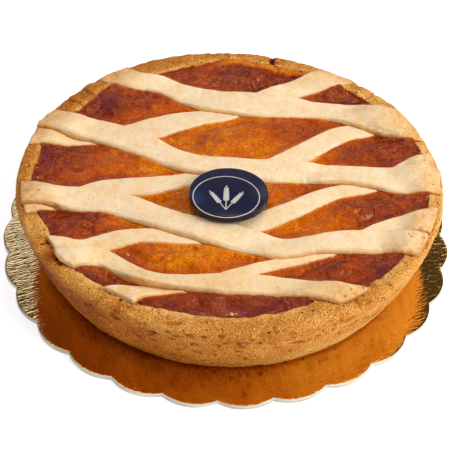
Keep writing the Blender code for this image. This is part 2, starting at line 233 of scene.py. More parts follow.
def read_points(piece):
    """The vertices and their normals as arrays."""
    count = len(piece.data.vertices)
    points, normals = np.empty(count * 3), np.empty(count * 3)
    piece.data.vertices.foreach_get("co", points)
    piece.data.vertex_normals.foreach_get("vector", normals)
    return points.reshape(-1, 3), normals.reshape(-1, 3)


def write_points(piece, points):
    """Moves the vertices to the points."""
    piece.data.vertices.foreach_set("co", np.ascontiguousarray(points).ravel())
    piece.data.update()


def paint(piece, name, values):
    """Keeps a number from 0 to 1 on each vertex for the material to read."""
    attribute = piece.data.attributes.new(name, "FLOAT", "POINT")
    attribute.data.foreach_set("value", np.clip(values, 0, 1).astype(np.float32))


def with_slopes(piece, values, allowed, rounds):
    """Values at a piece's points, let grow along its edges so that they end in a slope, not a step."""
    ends = np.empty(2 * len(piece.data.edges), dtype=np.int32)
    piece.data.edges.foreach_get("vertices", ends)
    ends = ends.reshape(-1, 2)
    ends = ends[allowed[ends].all(axis=1)]
    first, second = np.concatenate((ends, ends[:, ::-1])).T
    shares = np.maximum(np.bincount(first, minlength=len(values)), 1)
    for _ in range(rounds):
        values = np.maximum(values, np.bincount(first, values[second], len(values)) / shares)
    return values


def plan_of(points):
    """Radius from the pie's axis, bearing, and plan coordinates about that axis."""
    plan = points[:, :2] - (PIE_X, 0)
    return np.hypot(*plan.T), np.arctan2(plan[:, 1], plan[:, 0]), plan


def spot(plan, place, reach):
    """1 in the middle of a round or oval spot, easing to 0 at its reach."""
    across = (plan - np.array(place) * MM) / (np.array(reach) * MM)
    return smooth(1 - np.hypot(*across.T))


def around(angle, radius):
    """Plan place at a bearing and a distance."""
    return radius * math.cos(angle), radius * math.sin(angle)


def outwards(bearing):
    """Plan directions that point away from the pie's axis."""
    return np.column_stack((np.cos(bearing), np.sin(bearing)))


def behind_of(plan):
    """0 in front of the pie's axis, easing to 1 at 60 mm behind it."""
    return ease(plan[:, 1], 0, 60)


def turned(bearing, middle):
    """How far the bearings are turned from a middle one, from half a turn back to half a turn on."""
    return (bearing - middle + math.pi) % (2 * math.pi) - math.pi


def surface_of(piece):
    """A piece's mesh as a tree for rays and nearest points."""
    mesh = piece.data
    return BVHTree.FromPolygons([v.co for v in mesh.vertices], [p.vertices for p in mesh.polygons])


def inner_radius(surface, height, bearing):
    """Radius of the crust's inner wall at a height, read for all the given bearings."""
    looks = np.linspace(-math.pi, math.pi, 240, endpoint=False)
    middle = Vector((PIE_X, 0, height))
    radii = [surface.ray_cast(middle, Vector((*around(b, 1), 0)))[3] for b in looks]
    return np.interp(bearing, looks, radii, period=2 * math.pi)


def by_bearing(bearing, radius, sides=120):
    """The greatest radius at each bearing, read back for all the given bearings."""
    bins = np.floor((bearing + math.pi) / (2 * math.pi) * sides).astype(int) % sides
    widest = np.zeros(sides)
    np.maximum.at(widest, bins, radius)
    middles = (np.arange(sides) + 0.5) / sides * 2 * math.pi - math.pi
    return np.interp(bearing, middles, widest, period=2 * math.pi)


def finish_piece(piece, material, *nodes, slot):
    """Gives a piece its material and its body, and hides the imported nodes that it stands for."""
    piece.data.materials.clear()
    piece.data.materials.append(material)
    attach(piece, "root")
    if nodes:
        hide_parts(*nodes)


# ---------------------------------------------------------------- settings


def colour_setting(name, description, code):
    return bpy.props.FloatVectorProperty(
        name=name, description=description, subtype="COLOR", size=4, min=0, max=1, default=srgb(code)
    )


def length_setting(name, description, millimetres):
    return bpy.props.FloatProperty(
        name=name, description=description, default=millimetres * MM, unit="LENGTH", precision=5
    )


class PastieraCard(bpy.types.PropertyGroup):
    foil: colour_setting("Foil", "Colour of the gold foil", "E6B44E")
    scallops: bpy.props.IntProperty(
        name="Scallops", description="Arcs round the card's edge", default=28, min=3
    )
    tip_radius: length_setting("Tip radius", "Radius of the card to its scallops' tips", 140.0)
    notch_radius: length_setting("Notch radius", "Radius of the card between its scallops", 136.3)
    wave: length_setting("Wave", "Size of the fine waves pressed into the foil", 1.2)


class PastieraCrust(bpy.types.PropertyGroup):
    golden: colour_setting("Golden", "Colour of the palest crust", "EFBB6A")
    baked: colour_setting("Baked", "Colour of most of the crust", "CB7F28")
    toasted: colour_setting("Toasted", "Colour of the crust's brown grains", "9E5214")
    sand: length_setting("Sand", "Size of the crust's grains", 0.85)
    pits: bpy.props.IntProperty(name="Pits", description="Small pits in the wall", default=650, min=0)


class PastieraCustard(bpy.types.PropertyGroup):
    pale: colour_setting("Pale", "Colour of the palest custard", "DC8610")
    amber: colour_setting("Amber", "Colour of the custard between the middle strips", "C05C04")
    scorched: colour_setting("Scorched", "Colour of the darkest custard", "6A1B07")
    wrinkle: length_setting("Wrinkle", "Depth of the wrinkles in the custard's skin", 0.7)


class PastieraStrips(bpy.types.PropertyGroup):
    dough: colour_setting("Dough", "Colour of the pale strips", "EFD0A1")
    toasted: colour_setting("Toasted", "Colour of the strips' browned ends and edges", "C07F3E")
    swelling: length_setting("Swelling", "How much thicker the strips are than the solids", 0.16)


class PastieraPlaque(bpy.types.PropertyGroup):
    gloss: colour_setting("Gloss", "Colour of the plaque's dark blue coating", "202136")
    print: colour_setting("Print", "Colour of the wheat sheaf and ring printed on it", "CBC4B8")
    sheaf_height: length_setting("Sheaf height", "Height of the printed sheaf of wheat", 24.0)
    ring_radius: length_setting("Ring radius", "Radius of the thin ring round the sheaf", 19.0)
    grain_length: length_setting("Grain length", "Length of each grain in the ears", 3.6)


class PastieraCrumbs(bpy.types.PropertyGroup):
    loose: bpy.props.IntProperty(name="Loose", description="Loose crumbs all round", default=90, min=0)
    size: length_setting("Size", "Width of a large crumb", 1.5)


# ---------------------------------------------------------------- materials


def foil_material(settings):
    """Gold foil laminated on board: a mirror broken up by fine pressed waves, so it glints."""
    material, tree, coords = new_material("gold_foil_embossed")
    # Pressed waves 2 mm apart: noise stretched along a line that rises to the right.
    waves_at = add(
        tree,
        "ShaderNodeMapping",
        {"Vector": coords, "Rotation": (0, 0, math.radians(24)), "Scale": (4.5, 1, 1)},
        vector_type="TEXTURE",
    )
    waves = add(
        tree,
        "ShaderNodeTexNoise",
        {
            "Vector": waves_at.outputs["Vector"],
            "Scale": 1 / settings.wave,
            "Detail": 1.0,
            "Roughness": 0.5,
            "Distortion": 0.4,
        },
    )
    press = add(
        tree,
        "ShaderNodeBump",
        {"Height": waves.outputs["Fac"], "Distance": 0.19 * MM, "Strength": 1.0},
    )
    finish_material(
        tree,
        {
            "Base Color": tuple(settings.foil),
            "Metallic": 1.0,
            "Roughness": 0.09,
            "Coat Weight": 0.6,
            "Coat Roughness": 0.06,
            "Normal": press.outputs["Normal"],
            "Coat Normal": press.outputs["Normal"],
        },
    )
    return material


def board_material():
    """Grey board under the foil: cut layers show at the edge as fine light and dark lines."""
    material, tree, coords = new_material("grey_board")
    # Plies are about 0.4 mm thick, and drawn at 0.8 mm so that they show.
    layers_at = add(tree, "ShaderNodeMapping", {"Vector": coords, "Scale": (0.04, 0.04, 1)})
    layers = add(
        tree,
        "ShaderNodeTexNoise",
        {"Vector": layers_at.outputs["Vector"], "Scale": 1 / (0.8 * MM), "Detail": 2.0},
    )
    colour = add(
        tree,
        "ShaderNodeValToRGB",
        {"Fac": layers.outputs["Fac"]},
        stops=((0.3, srgb("A99F90")), (0.5, srgb("D6CFC2")), (0.7, srgb("F1EDE4"))),
    )
    finish_material(tree, {"Base Color": colour.outputs["Color"], "Roughness": 0.85})
    return material


def dots(tree, coords, spacing, radius):
    """1 inside scattered round dots of mixed sizes and 0 between them; both sizes in metres."""
    cells = add(tree, "ShaderNodeTexVoronoi", {"Vector": coords, "Scale": 1 / spacing})
    luck = add(tree, "ShaderNodeSeparateColor", {"Color": cells.outputs["Color"]}).outputs[0]
    size = add(tree, "ShaderNodeMath", {0: luck, 1: radius / spacing}, operation="MULTIPLY")
    inside = add(
        tree, "ShaderNodeMath", {0: size.outputs[0], 1: cells.outputs["Distance"]}, operation="SUBTRACT"
    )
    return add(
        tree, "ShaderNodeMapRange", {"Value": inside.outputs[0], "From Min": 0.0, "From Max": 0.06}
    ).outputs[0]


def browning_of(tree, coords, blotch, grain, middle):
    """The toast and painted light kept on the vertices, with blotches and grains over it, each given by
    size, strength and detail.
    """
    toast_and_painted_light = add(tree, "ShaderNodeAttribute", attribute_name="toast_and_painted_light").outputs["Fac"]
    total = add(tree, "ShaderNodeMath", {0: toast_and_painted_light, 1: middle}, operation="ADD").outputs[0]
    heights = []
    for size, strength, detail in (blotch, grain):
        lumps = add(
            tree,
            "ShaderNodeTexNoise",
            {"Vector": coords, "Scale": 1 / size, "Detail": detail, "Roughness": 0.6},
        ).outputs["Fac"]
        heights.append(lumps)
        total = add(
            tree, "ShaderNodeMath", {0: lumps, 1: strength, 2: total}, operation="MULTIPLY_ADD"
        ).outputs[0]
    return total, heights[1]


def crust_material(settings):
    """Baked shortcrust: sandy and matt, golden to brown, with pores drawn dark as painted shade and paler
    grains.
    """
    material, tree, coords = new_material("baked_shortcrust")
    # Sugar and semolina grains are 0.3 to 1 mm, drawn somewhat coarser so that they show.
    browning, sand = browning_of(tree, coords, (13 * MM, 0.4, 3.0), (settings.sand, 1.6, 3.0), -1.02)
    colour = add(
        tree,
        "ShaderNodeValToRGB",
        {"Fac": browning},
        stops=(
            (0.0, settings.golden),
            (0.3, settings.baked),
            (0.62, settings.toasted),
            (0.95, srgb("6E340E")),
        ),
    ).outputs["Color"]
    # Pores are drawn dark brown: painted shade in their hollows.
    pores = dots(tree, coords, 4.0 * MM, 0.9 * MM)
    # Burst bubbles, 1 to 2 mm across and flattened, left holes, drawn with dark bottoms as painted shade.
    squat = add(tree, "ShaderNodeMapping", {"Vector": coords, "Scale": (1, 1, 1.7)})
    bubbles = dots(tree, squat.outputs["Vector"], 6 * MM, 1.2 * MM)
    aside = add(tree, "ShaderNodeMapping", {"Vector": coords, "Location": (0.5, 0.2, 0.7)})
    sugar = dots(tree, aside.outputs["Vector"], 5 * MM, 0.8 * MM)
    for share, code in ((pores, "8A4A18"), (bubbles, "763A12"), (sugar, "DDA964")):
        inputs = {0: share, 6: colour, 7: srgb(code)}
        colour = add(tree, "ShaderNodeMix", inputs, data_type="RGBA").outputs[2]
    # Filling that boiled over left dark caramel along the lip, orange where it is thin. The same colours
    # draw painted shade in the tear beside a strip's end.
    caramel = add(tree, "ShaderNodeAttribute", attribute_name="caramel").outputs["Fac"]
    syrup = add(
        tree,
        "ShaderNodeValToRGB",
        {"Fac": caramel},
        stops=((0.2, srgb("BC6414")), (0.6, srgb("96400C")), (0.9, srgb("521A0A"))),
    )
    cover = add(tree, "ShaderNodeMapRange", {"Value": caramel, "From Max": 0.5})
    burnt = add(
        tree,
        "ShaderNodeMix",
        {0: cover.outputs[0], 6: colour, 7: syrup.outputs["Color"]},
        data_type="RGBA",
    )
    rough = add(tree, "ShaderNodeMapRange", {"Value": caramel, "To Min": 0.75, "To Max": 0.45})
    level = sand
    for holes, depth in ((pores, -0.3), (bubbles, -0.6)):
        inputs = {0: holes, 1: depth, 2: level}
        level = add(tree, "ShaderNodeMath", inputs, operation="MULTIPLY_ADD").outputs[0]
    crumb = add(tree, "ShaderNodeBump", {"Height": level, "Distance": 0.9 * MM, "Strength": 0.9})
    finish_material(
        tree,
        {
            "Base Color": burnt.outputs[2],
            "Roughness": rough.outputs[0],
            "Specular IOR Level": 0.12,
            "Normal": crumb.outputs["Normal"],
        },
    )
    return material


def custard_material(settings):
    """Baked ricotta and wheat custard: a thin glossy skin, amber where pale, maroon where scorched."""
    material, tree, coords = new_material("baked_custard_skin")
    browning, grain = browning_of(tree, coords, (6 * MM, 0.7, 5.0), (1.1 * MM, 1.3, 3.0), -1.0)
    baked = add(
        tree,
        "ShaderNodeValToRGB",
        {"Fac": browning},
        stops=(
            (0.0, settings.pale),
            (0.22, settings.amber),
            (0.45, srgb("B24C06")),
            (0.7, srgb("94380C")),
            (1.0, settings.scorched),
        ),
    )
    # Wheat grains and curds just under the skin show as paler dots.
    wheat = dots(tree, coords, 4.6 * MM, 1.4 * MM)
    paler = add(tree, "ShaderNodeMath", {0: wheat, 1: 0.12}, operation="MULTIPLY")
    curds = add(
        tree,
        "ShaderNodeMix",
        {0: paler.outputs[0], 6: baked.outputs["Color"], 7: srgb("DC8A30")},
        data_type="RGBA",
    )
    rough = add(
        tree,
        "ShaderNodeMapRange",
        {"Value": grain, "From Min": 0.35, "From Max": 0.65, "To Min": 0.1, "To Max": 0.2},
    )
    # Fat shines through the pale skin in orange; the browned skin gleams paler.
    gleam = add(
        tree,
        "ShaderNodeValToRGB",
        {"Fac": browning},
        stops=((0.1, srgb("FF7C1C")), (0.5, srgb("FF9C5C")), (1.0, srgb("F6BC9C"))),
    )
    # Where it browned the skin dried into a finer, rougher grain.
    dried = add(
        tree,
        "ShaderNodeMapRange",
        {"Value": browning, "From Min": 0.1, "From Max": 0.6, "To Min": 0.3, "To Max": 1.0},
    )
    # The skin lies in soft folds 4 mm apart, which its gloss shows as sheens and glints.
    folds = add(
        tree,
        "ShaderNodeTexNoise",
        {"Vector": coords, "Scale": 1 / (4.2 * MM), "Detail": 3.0, "Roughness": 0.55, "Distortion": 0.6},
    )
    draped = add(
        tree,
        "ShaderNodeBump",
        {"Height": folds.outputs["Fac"], "Distance": 1.0 * MM, "Strength": 0.8},
    )
    skin = add(
        tree,
        "ShaderNodeBump",
        {
            "Height": grain,
            "Distance": 0.13 * MM,
            "Strength": dried.outputs[0],
            "Normal": draped.outputs["Normal"],
        },
    )
    finish_material(
        tree,
        {
            "Base Color": curds.outputs[2],
            "Roughness": rough.outputs[0],
            "Specular IOR Level": 0.44,
            "Specular Tint": gleam.outputs["Color"],
            "Normal": skin.outputs["Normal"],
        },
    )
    return material


def strip_material(settings):
    """Rolled shortcrust strips: pale, dry and matt, toasted at ends, with painted shade on sides and
    underside, custard-stained.
    """
    material, tree, coords = new_material("pale_shortcrust")
    browning, flour = browning_of(tree, coords, (10 * MM, 0.55, 4.0), (1.5 * MM, 0.45, 3.0), -0.4)
    baked = add(
        tree,
        "ShaderNodeValToRGB",
        {"Fac": browning},
        stops=(
            (0.0, srgb("F8E0BC")),
            (0.25, settings.dough),
            (0.55, srgb("E4B377")),
            (0.9, settings.toasted),
        ),
    )
    # Butter makes the dough yellower in places and the oven makes it pinker in others.
    butter = add(tree, "ShaderNodeTexNoise", {"Vector": coords, "Scale": 1 / (6 * MM), "Detail": 2.0})
    tint = add(
        tree,
        "ShaderNodeValToRGB",
        {"Fac": butter.outputs["Fac"]},
        stops=((0.35, srgb("FFF2E4")), (0.5, srgb("FFFFFF")), (0.65, srgb("FFF8DC"))),
    )
    buttered = add(
        tree,
        "ShaderNodeMix",
        {0: 1.0, 6: baked.outputs["Color"], 7: tint.outputs["Color"]},
        data_type="RGBA",
        blend_type="MULTIPLY",
    )
    freckles = dots(tree, coords, 5 * MM, 0.85 * MM)
    faint = add(tree, "ShaderNodeMath", {0: freckles, 1: 0.45}, operation="MULTIPLY")
    freckled = add(
        tree,
        "ShaderNodeMix",
        {0: faint.outputs[0], 6: buttered.outputs[2], 7: srgb("B98650")},
        data_type="RGBA",
    )
    stain = add(tree, "ShaderNodeAttribute", attribute_name="stain").outputs["Fac"]
    stained = add(
        tree,
        "ShaderNodeMix",
        {0: stain, 6: freckled.outputs[2], 7: srgb("C07A2A")},
        data_type="RGBA",
    )
    crumb = add(tree, "ShaderNodeBump", {"Height": flour, "Distance": 0.5 * MM, "Strength": 0.6})
    finish_material(
        tree,
        {
            "Base Color": stained.outputs[2],
            "Roughness": 0.78,
            "Specular IOR Level": 0.22,
            "Normal": crumb.outputs["Normal"],
        },
    )
    return material


def plaque_material(settings):
    """Dark blue glossy coating on a sugar disc: smooth, with a clear highlight on its bevel."""
    material, tree, coords = new_material("glossy_blue_coating")
    smear = add(tree, "ShaderNodeTexNoise", {"Vector": coords, "Scale": 1 / (6 * MM), "Detail": 2.0})
    rough = add(
        tree,
        "ShaderNodeMapRange",
        {"Value": smear.outputs["Fac"], "From Min": 0.3, "From Max": 0.7, "To Min": 0.16, "To Max": 0.24},
    )
    finish_material(
        tree,
        {
            "Base Color": tuple(settings.gloss),
            "Roughness": rough.outputs[0],
            "Specular IOR Level": 0.15,
            "Coat Weight": 0.08,
            "Coat Roughness": 0.06,
        },
    )
    return material


def print_material(settings):
    """Raised cream printing ink: matt, so it reads flat against the glossy blue."""
    material, tree, coords = new_material("cream_ink")
    patchy = add(tree, "ShaderNodeTexNoise", {"Vector": coords, "Scale": 1 / (0.8 * MM)})
    worn = add(
        tree,
        "ShaderNodeMapRange",
        {"Value": patchy.outputs["Fac"], "From Min": 0.4, "From Max": 0.7, "To Max": 0.25},
    )
    colour = add(
        tree,
        "ShaderNodeMix",
        {0: worn.outputs[0], 6: tuple(settings.print), 7: srgb("8E8A8C")},
        data_type="RGBA",
    )
    finish_material(tree, {"Base Color": colour.outputs[2], "Roughness": 0.5})
    return material


def crumb_material():
    """Broken crumbs of the same shortcrust: dry and matt, each one paler or browner than the next."""
    material, tree, coords = new_material("shortcrust_crumbs")
    browning, flour = browning_of(tree, coords, (2 * MM, 0.6, 2.0), (0.7 * MM, 0.4, 2.0), -0.5)
    baked = add(
        tree,
        "ShaderNodeValToRGB",
        {"Fac": browning},
        stops=((0.0, srgb("F0D09C")), (0.4, srgb("D6A05C")), (1.0, srgb("A5601F"))),
    )
    crumb = add(tree, "ShaderNodeBump", {"Height": flour, "Distance": 0.3 * MM, "Strength": 0.6})
    finish_material(
        tree,
        {
            "Base Color": baked.outputs["Color"],
            "Roughness": 0.8,
            "Specular IOR Level": 0.22,
            "Normal": crumb.outputs["Normal"],
        },
    )
    return material


# ---------------------------------------------------------------- card


FIRST_NOTCH = math.radians(-90.6)  # bearing of a notch between two scallops
ARC_STEPS = 14  # straight steps in each scallop


def scallop_radius(angle, settings):
    """Radius of the card's outline: each scallop is an arc from notch to notch through its tip."""
    half_angle = math.pi / settings.scallops
    half_chord = settings.notch_radius * math.sin(half_angle)
    rise = settings.tip_radius - settings.notch_radius * math.cos(half_angle)
    arc_radius = (half_chord**2 + rise**2) / (2 * rise)
    arc_centre = settings.tip_radius - arc_radius
    off = (angle - FIRST_NOTCH) % (2 * half_angle) - half_angle
    return arc_centre * math.cos(off) + math.sqrt(arc_radius**2 - (arc_centre * math.sin(off)) ** 2)


class PASTIERA_OT_card(bpy.types.Operator):
    """Models the scalloped board with gold foil on top"""

    bl_idname = "pastiera.card"
    bl_label = "Card"

    def execute(self, context):
        settings = context.scene.pastiera_card
        bpy.ops.object.select_all(action="DESELECT")
        sides = settings.scallops * ARC_STEPS
        bpy.ops.mesh.primitive_circle_add(
            vertices=sides, radius=settings.notch_radius, fill_type="NGON", location=(0, 0, 0)
        )
        piece = context.object
        piece.name = "foil_card"
        for k, vert in enumerate(piece.data.vertices):
            angle = FIRST_NOTCH + 2 * math.pi * k / sides
            radius = scallop_radius(angle, settings)
            vert.co = (*around(angle, radius), 0)
        thicken(CARD_TOP)
        modify(piece, "BEVEL", width=0.35 * MM, segments=2, limit_method="ANGLE")
        # A narrow flat border keeps the foil's shading flat inside it.
        for face in piece.data.polygons:
            face.select = len(face.vertices) > 4 and face.center.z > CARD_TOP / 2
        bpy.ops.object.mode_set(mode="EDIT")
        bpy.ops.mesh.select_mode(type="FACE")
        bpy.ops.mesh.inset(thickness=1.0 * MM)
        bpy.ops.mesh.inset(thickness=1.0 * MM)
        bpy.ops.object.mode_set(mode="OBJECT")
        finish_piece(piece, foil_material(settings), "card", slot="card")
        piece.data.materials.append(board_material())
        for face in piece.data.polygons:
            face.material_index = 0 if face.normal.z > 0.99 else 1
        bpy.ops.object.shade_smooth_by_angle(angle=math.radians(25))
        return {"FINISHED"}


# ---------------------------------------------------------------- crust

WALL_RADIUS = 113 * MM  # the wall is beyond this distance from the pie's axis
WALL_FOOT = 7 * MM  # the height from which the wall is pitted
LONG_EDGE = 8 * MM
LARGE_FACE = 1.4 * MM * MM
PIT_DEPTH = 0.9 * MM
PIT_STRETCH = 1.6  # a pit's width against its height
TEAR_DEPTH = 1.8 * MM
# Larger marks in the wall: bearing in degrees, height, half its width and height, and depth in mm.
WALL_MARKS = (
    (-71.8, 33, 3.2, 1.6, 2.0),
    (-68.8, 32, 2.0, 1.1, 1.625),
    (-66.3, 33.5, 2.0, 1.1, 1.5),
    (-106.4, 40, 2.0, 1.0, 1.25),
    (-97, 36, 3.0, 1.4, 1.125),
    (-112, 30, 2.6, 1.3, 1.25),
    (-121, 37, 2.2, 1.4, 1.25),
    (-84, 18, 2.6, 1.2, 1.125),
    (-58, 40, 4.5, 1.6, 1.375),
    (-40, 33, 3.0, 1.5, 1.125),
    (25, 30, 4.0, 1.6, 1.5),
    (70, 22, 5.0, 1.6, 1.5),
    (115, 35, 3.5, 1.8, 1.625),
    (150, 26, 4.0, 1.5, 1.25),
    (190, 33, 3.0, 1.5, 1.375),
)
# Dents and bumps of the rim: plan place and reach, and how far it sinks, in mm.
RIM_MARKS = (
    ((27, 119), (2.8, 9), 2.6),
    ((30, 115), (4, 3), 0.9),
    ((-3, 122), (1.6, 7), 0.6),
    ((-97, -75), (7, 8), 1.0),
    ((76, -89), (9, 2.0), 1.1),
    ((4, -112), (7, 3), -0.9),
    ((48, -105), (6, 3), -0.8),
    ((-44, -108), (7, 3), 0.9),
    ((-118, 36), (5, 4), 0.8),
    ((110, -58), (5, 5), 0.9),
    ((121, -14), (4, 6), -0.7),
    ((-27, -121), (7, 2.2), 1.3),
    ((-68, -107), (2.4, 1.3), 1.2),
    ((-87, -95), (1.3, 2.6), 1.2),
    ((-122, -16), (4, 7), 0.7),
    ((84, 92), (7, 6), 0.8),
)
# Where the rim tore beside the end of a strip in front on the left: plan places in mm.
TEAR = ((-100, -64.5), (-98, -68.5), (-96, -72.5), (-93.5, -76), (-91, -79.5))


def refine_wall(piece):
    """Subdivides the crust, its wall and rim the most, as they carry the pits and cracks."""
    axis = Vector((PIE_X, 0, 0))
    verts = piece.data.vertices

    def is_long(edge):
        first, second = (verts[k].co for k in edge.vertices)
        nearest = min((first - axis).xy.length, (second - axis).xy.length)
        return (first - second).length > LONG_EDGE and nearest > WALL_RADIUS + 0.5 * MM

    def is_large(face):
        place = face.center - axis
        return face.area > LARGE_FACE and place.z > WALL_FOOT and place.xy.length > WALL_RADIUS

    choose(piece, "EDGE", is_long)
    bpy.ops.mesh.subdivide(number_cuts=1)
    bpy.ops.object.mode_set(mode="OBJECT")
    subdivide(piece, 2)
    choose(piece, "FACE", is_large)
    bpy.ops.mesh.subdivide(number_cuts=1)
    bpy.ops.object.mode_set(mode="OBJECT")


def wall_pits(radius, bearing, height, count):
    """Pits where coarse sugar and butter left the dough: how pitted each point is, and how sunk."""
    rng = np.random.default_rng(7)
    pits = np.zeros(len(radius))
    for _ in range(count):
        angle = rng.uniform(-math.pi, math.pi)
        low = rng.uniform(6, 48) * MM
        wide = rng.uniform(0.9, 2.2) * MM * rng.uniform(0.6, 1.0)
        away = np.hypot(turned(bearing, angle) * radius / PIT_STRETCH, height - low) / wide
        pits += smooth(1.5 - 1.5 * away) * rng.uniform(0.5, 1.0)
    sunk = pits * PIT_DEPTH
    for angle, low, wide, high, depth in WALL_MARKS:
        along = turned(bearing, math.radians(angle)) * radius / (wide * MM)
        hole = smooth(1.3 - np.hypot(along, (height - low * MM) / (high * MM)))
        pits += 1.1 * hole
        sunk += hole * depth * MM
    return pits, sunk


def round_rim(points, radius, bearing, plan, height):
    """Rounds the rim as the thumb did that pressed it into its tin, more in front than behind."""
    soft = RIM_ROUND - RIM_ROUND_LESS * np.sin(bearing)
    outer = by_bearing(bearing, radius)
    across = (radius - (outer - soft)) / soft
    up = (height - (RIM_TOP - soft)) / soft
    beyond = np.maximum(np.hypot(np.maximum(across, 0), np.maximum(up, 0)), 1)
    pull = np.where((across > 0) & (up > 0), 1 - 1 / beyond, 0)
    points[:, 2] -= pull * up * soft
    points[:, :2] -= (pull * across * soft / radius)[:, None] * plan


def worn_rim(plan, top):
    """How far the rim is sunk at each point, how broken it is, and how torn beside a strip."""
    torn = np.max([spot(plan, place, (3, 4)) for place in TEAR], axis=0) * top
    torn *= 0.75 + 0.5 * noise(plan, 2.4 * MM, 19)
    sunk = TEAR_DEPTH * torn
    broken = np.zeros(len(plan))
    for place, reach, depth in RIM_MARKS:
        share = spot(plan, place, reach) * top
        sunk += share * depth * MM
        broken += share * (depth > 0)
    return sunk, broken, torn


def crust_toast_and_painted_light(points, plan, height, top):
    """Crust browning with painted light in it: painted shade on the left, most below the rim on the far
    left, painted light low on the right; browner behind on the rim.
    """
    toast_and_painted_light = 0.18 + 0.12 * noise(points, 30 * MM, 3) + 0.06 * noise(points, 9 * MM, 4)
    # Painted shade: browner towards the left, a little less on the rim's top.
    left = ease(plan[:, 0], 115, -115)
    toast_and_painted_light += (0.28 - 0.14 * top) * left + 0.08 * top * behind_of(plan)
    # Painted shade on the far left, below the rim and above the foot.
    painted_shade_far_left = ease(plan[:, 0], -25, -85) * ease(plan[:, 1], 48, -32)
    under_rim = ease(RIM_TOP - height, 0, 12) * ease(height, 10, 32)
    toast_and_painted_light += 0.36 * painted_shade_far_left * under_rim
    # Painted light: paler low on the right.
    right = ease(plan[:, 0], 20, 60) * ease(plan[:, 1], 80, 0)
    toast_and_painted_light -= 0.3 * right * ease(height, 26, 12)
    return toast_and_painted_light + 0.06 * ease(height, 14, 4)


def boiled_caramel(plan, bearing, height, from_lip, top):
    """Caramel on the crust: a line along the lip, a glaze in front on the right, and two cracks."""
    line = 0.7 * ease(from_lip, 1.08, 0.18)
    line *= smooth(0.6 + noise(plan, 11 * MM, 8) + 0.5 * behind_of(plan))
    glazed = smooth(1 - np.abs(turned(bearing, math.radians(-58))) / 0.55)
    glaze = 0.2 * glazed * ease(from_lip, 5.1, 1.7) * (1 + 0.5 * noise(plan, 5 * MM, 9))
    caramel = np.maximum(line, glaze) * (height > 30 * MM)
    caramel += 1.2 * spot(plan, (27.5, 119), (3.6, 9)) * top
    return caramel + 0.3 * spot(plan, (-26, -121), (8, 2.4)) * top


class PASTIERA_OT_crust(bpy.types.Operator):
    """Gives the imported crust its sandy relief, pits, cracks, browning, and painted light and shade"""

    bl_idname = "pastiera.crust"
    bl_label = "Crust"

    def execute(self, context):
        settings = context.scene.pastiera_crust
        piece = merged_copy("shortcrust_case", "crust")
        refine_wall(piece)
        roughen(piece, ((26, 1.0), (6, 0.9), (2.4, 0.6), (1.3, 0.35)))
        points, normals = read_points(piece)
        radius, bearing, plan = plan_of(points)
        height = points[:, 2].copy()
        pits, sunk = wall_pits(radius, bearing, height, settings.pits)
        points -= normals * (sunk * ease(radius, 112, 115))[:, None]
        round_rim(points, radius, bearing, plan, height)
        top = ease(RIM_TOP - height, 5, 1)
        lumps = 0.45 * noise(plan, 3.4 * MM, 13) + 0.35 * noise(plan, 7 * MM, 14)
        points[:, 2] += top * (lumps + 0.8 * behind_of(plan)) * MM
        sunk, broken, torn = worn_rim(plan, top)
        points[:, 2] -= sunk
        write_points(piece, points)
        # Painted shade: the pits are drawn browner, and the rim's dents are browner too.
        toast_and_painted_light = crust_toast_and_painted_light(points, plan, height, top) + 0.3 * pits + 0.25 * broken
        # Along the lip the crust stayed pale, but for the thin dark line where the filling met it.
        from_lip = radius - inner_radius(surface_of(piece), RIM_TOP - 1.7 * MM, bearing)
        ledge = ease(from_lip, 5.25, 1.75) * top
        toast_and_painted_light -= 0.24 * ledge * (0.7 + 0.6 * noise(plan, 5 * MM, 12))
        # Painted light: a pale patch at the wall's foot in front, which the foil below shows as a bright
        # yellow reflection.
        along = turned(bearing, math.radians(-68.5)) * radius
        toast_and_painted_light -= 0.5 * spot(np.column_stack((along, height)), (0, 8), (6, 5))
        paint(piece, "toast_and_painted_light", toast_and_painted_light)
        # Painted shade: the tear beside a strip's end is drawn dark in the caramel colours.
        paint(piece, "caramel", boiled_caramel(plan, bearing, height, from_lip, top) + 0.9 * torn)
        finish_piece(piece, crust_material(settings), "crust", slot="crust")
        return {"FINISHED"}


# ---------------------------------------------------------------- custard

FAR = 20 * MM  # stands for a distance that is too great to matter
# Browning of the custard: plan place and reach in mm from the pie's axis, and how dark it is.
BROWNING = (
    ((15, 98), (60, 18), 0.85),
    ((-85, 66), (32, 24), 0.9),
    ((-45, 53), (26, 14), 0.45),
    ((-20, 76), (25, 12), 0.75),
    ((95, 76), (30, 14), 0.9),
    ((-38, 44), (24, 14), 0.55),
    ((-5, 36), (36, 22), 0.27),
    ((32, 44), (18, 12), 0.5),
    ((60, 40), (34, 22), 0.6),
    ((85, 24), (34, 20), 0.78),
    ((-105, 22), (24, 26), 0.95),
    ((-62, 14), (34, 18), 0.28),
    ((-76, -6), (26, 7), 0.6),
    ((-45, -10), (22, 12), 0.4),
    ((45, -8), (24, 12), 0.5),
    ((-95, -35), (30, 18), 0.9),
    ((-50, -45), (30, 12), 0.4),
    ((50, -38), (34, 16), 0.32),
    ((95, -25), (34, 20), 0.78),
    ((-20, -70), (46, 20), 0.14),
    ((38, -66), (22, 12), 0.5),
    ((-70, -80), (26, 18), 0.8),
    ((0, -100), (70, 18), 0.85),
    ((62, -75), (24, 14), 0.8),
    ((92, -68), (28, 22), 0.95),
)

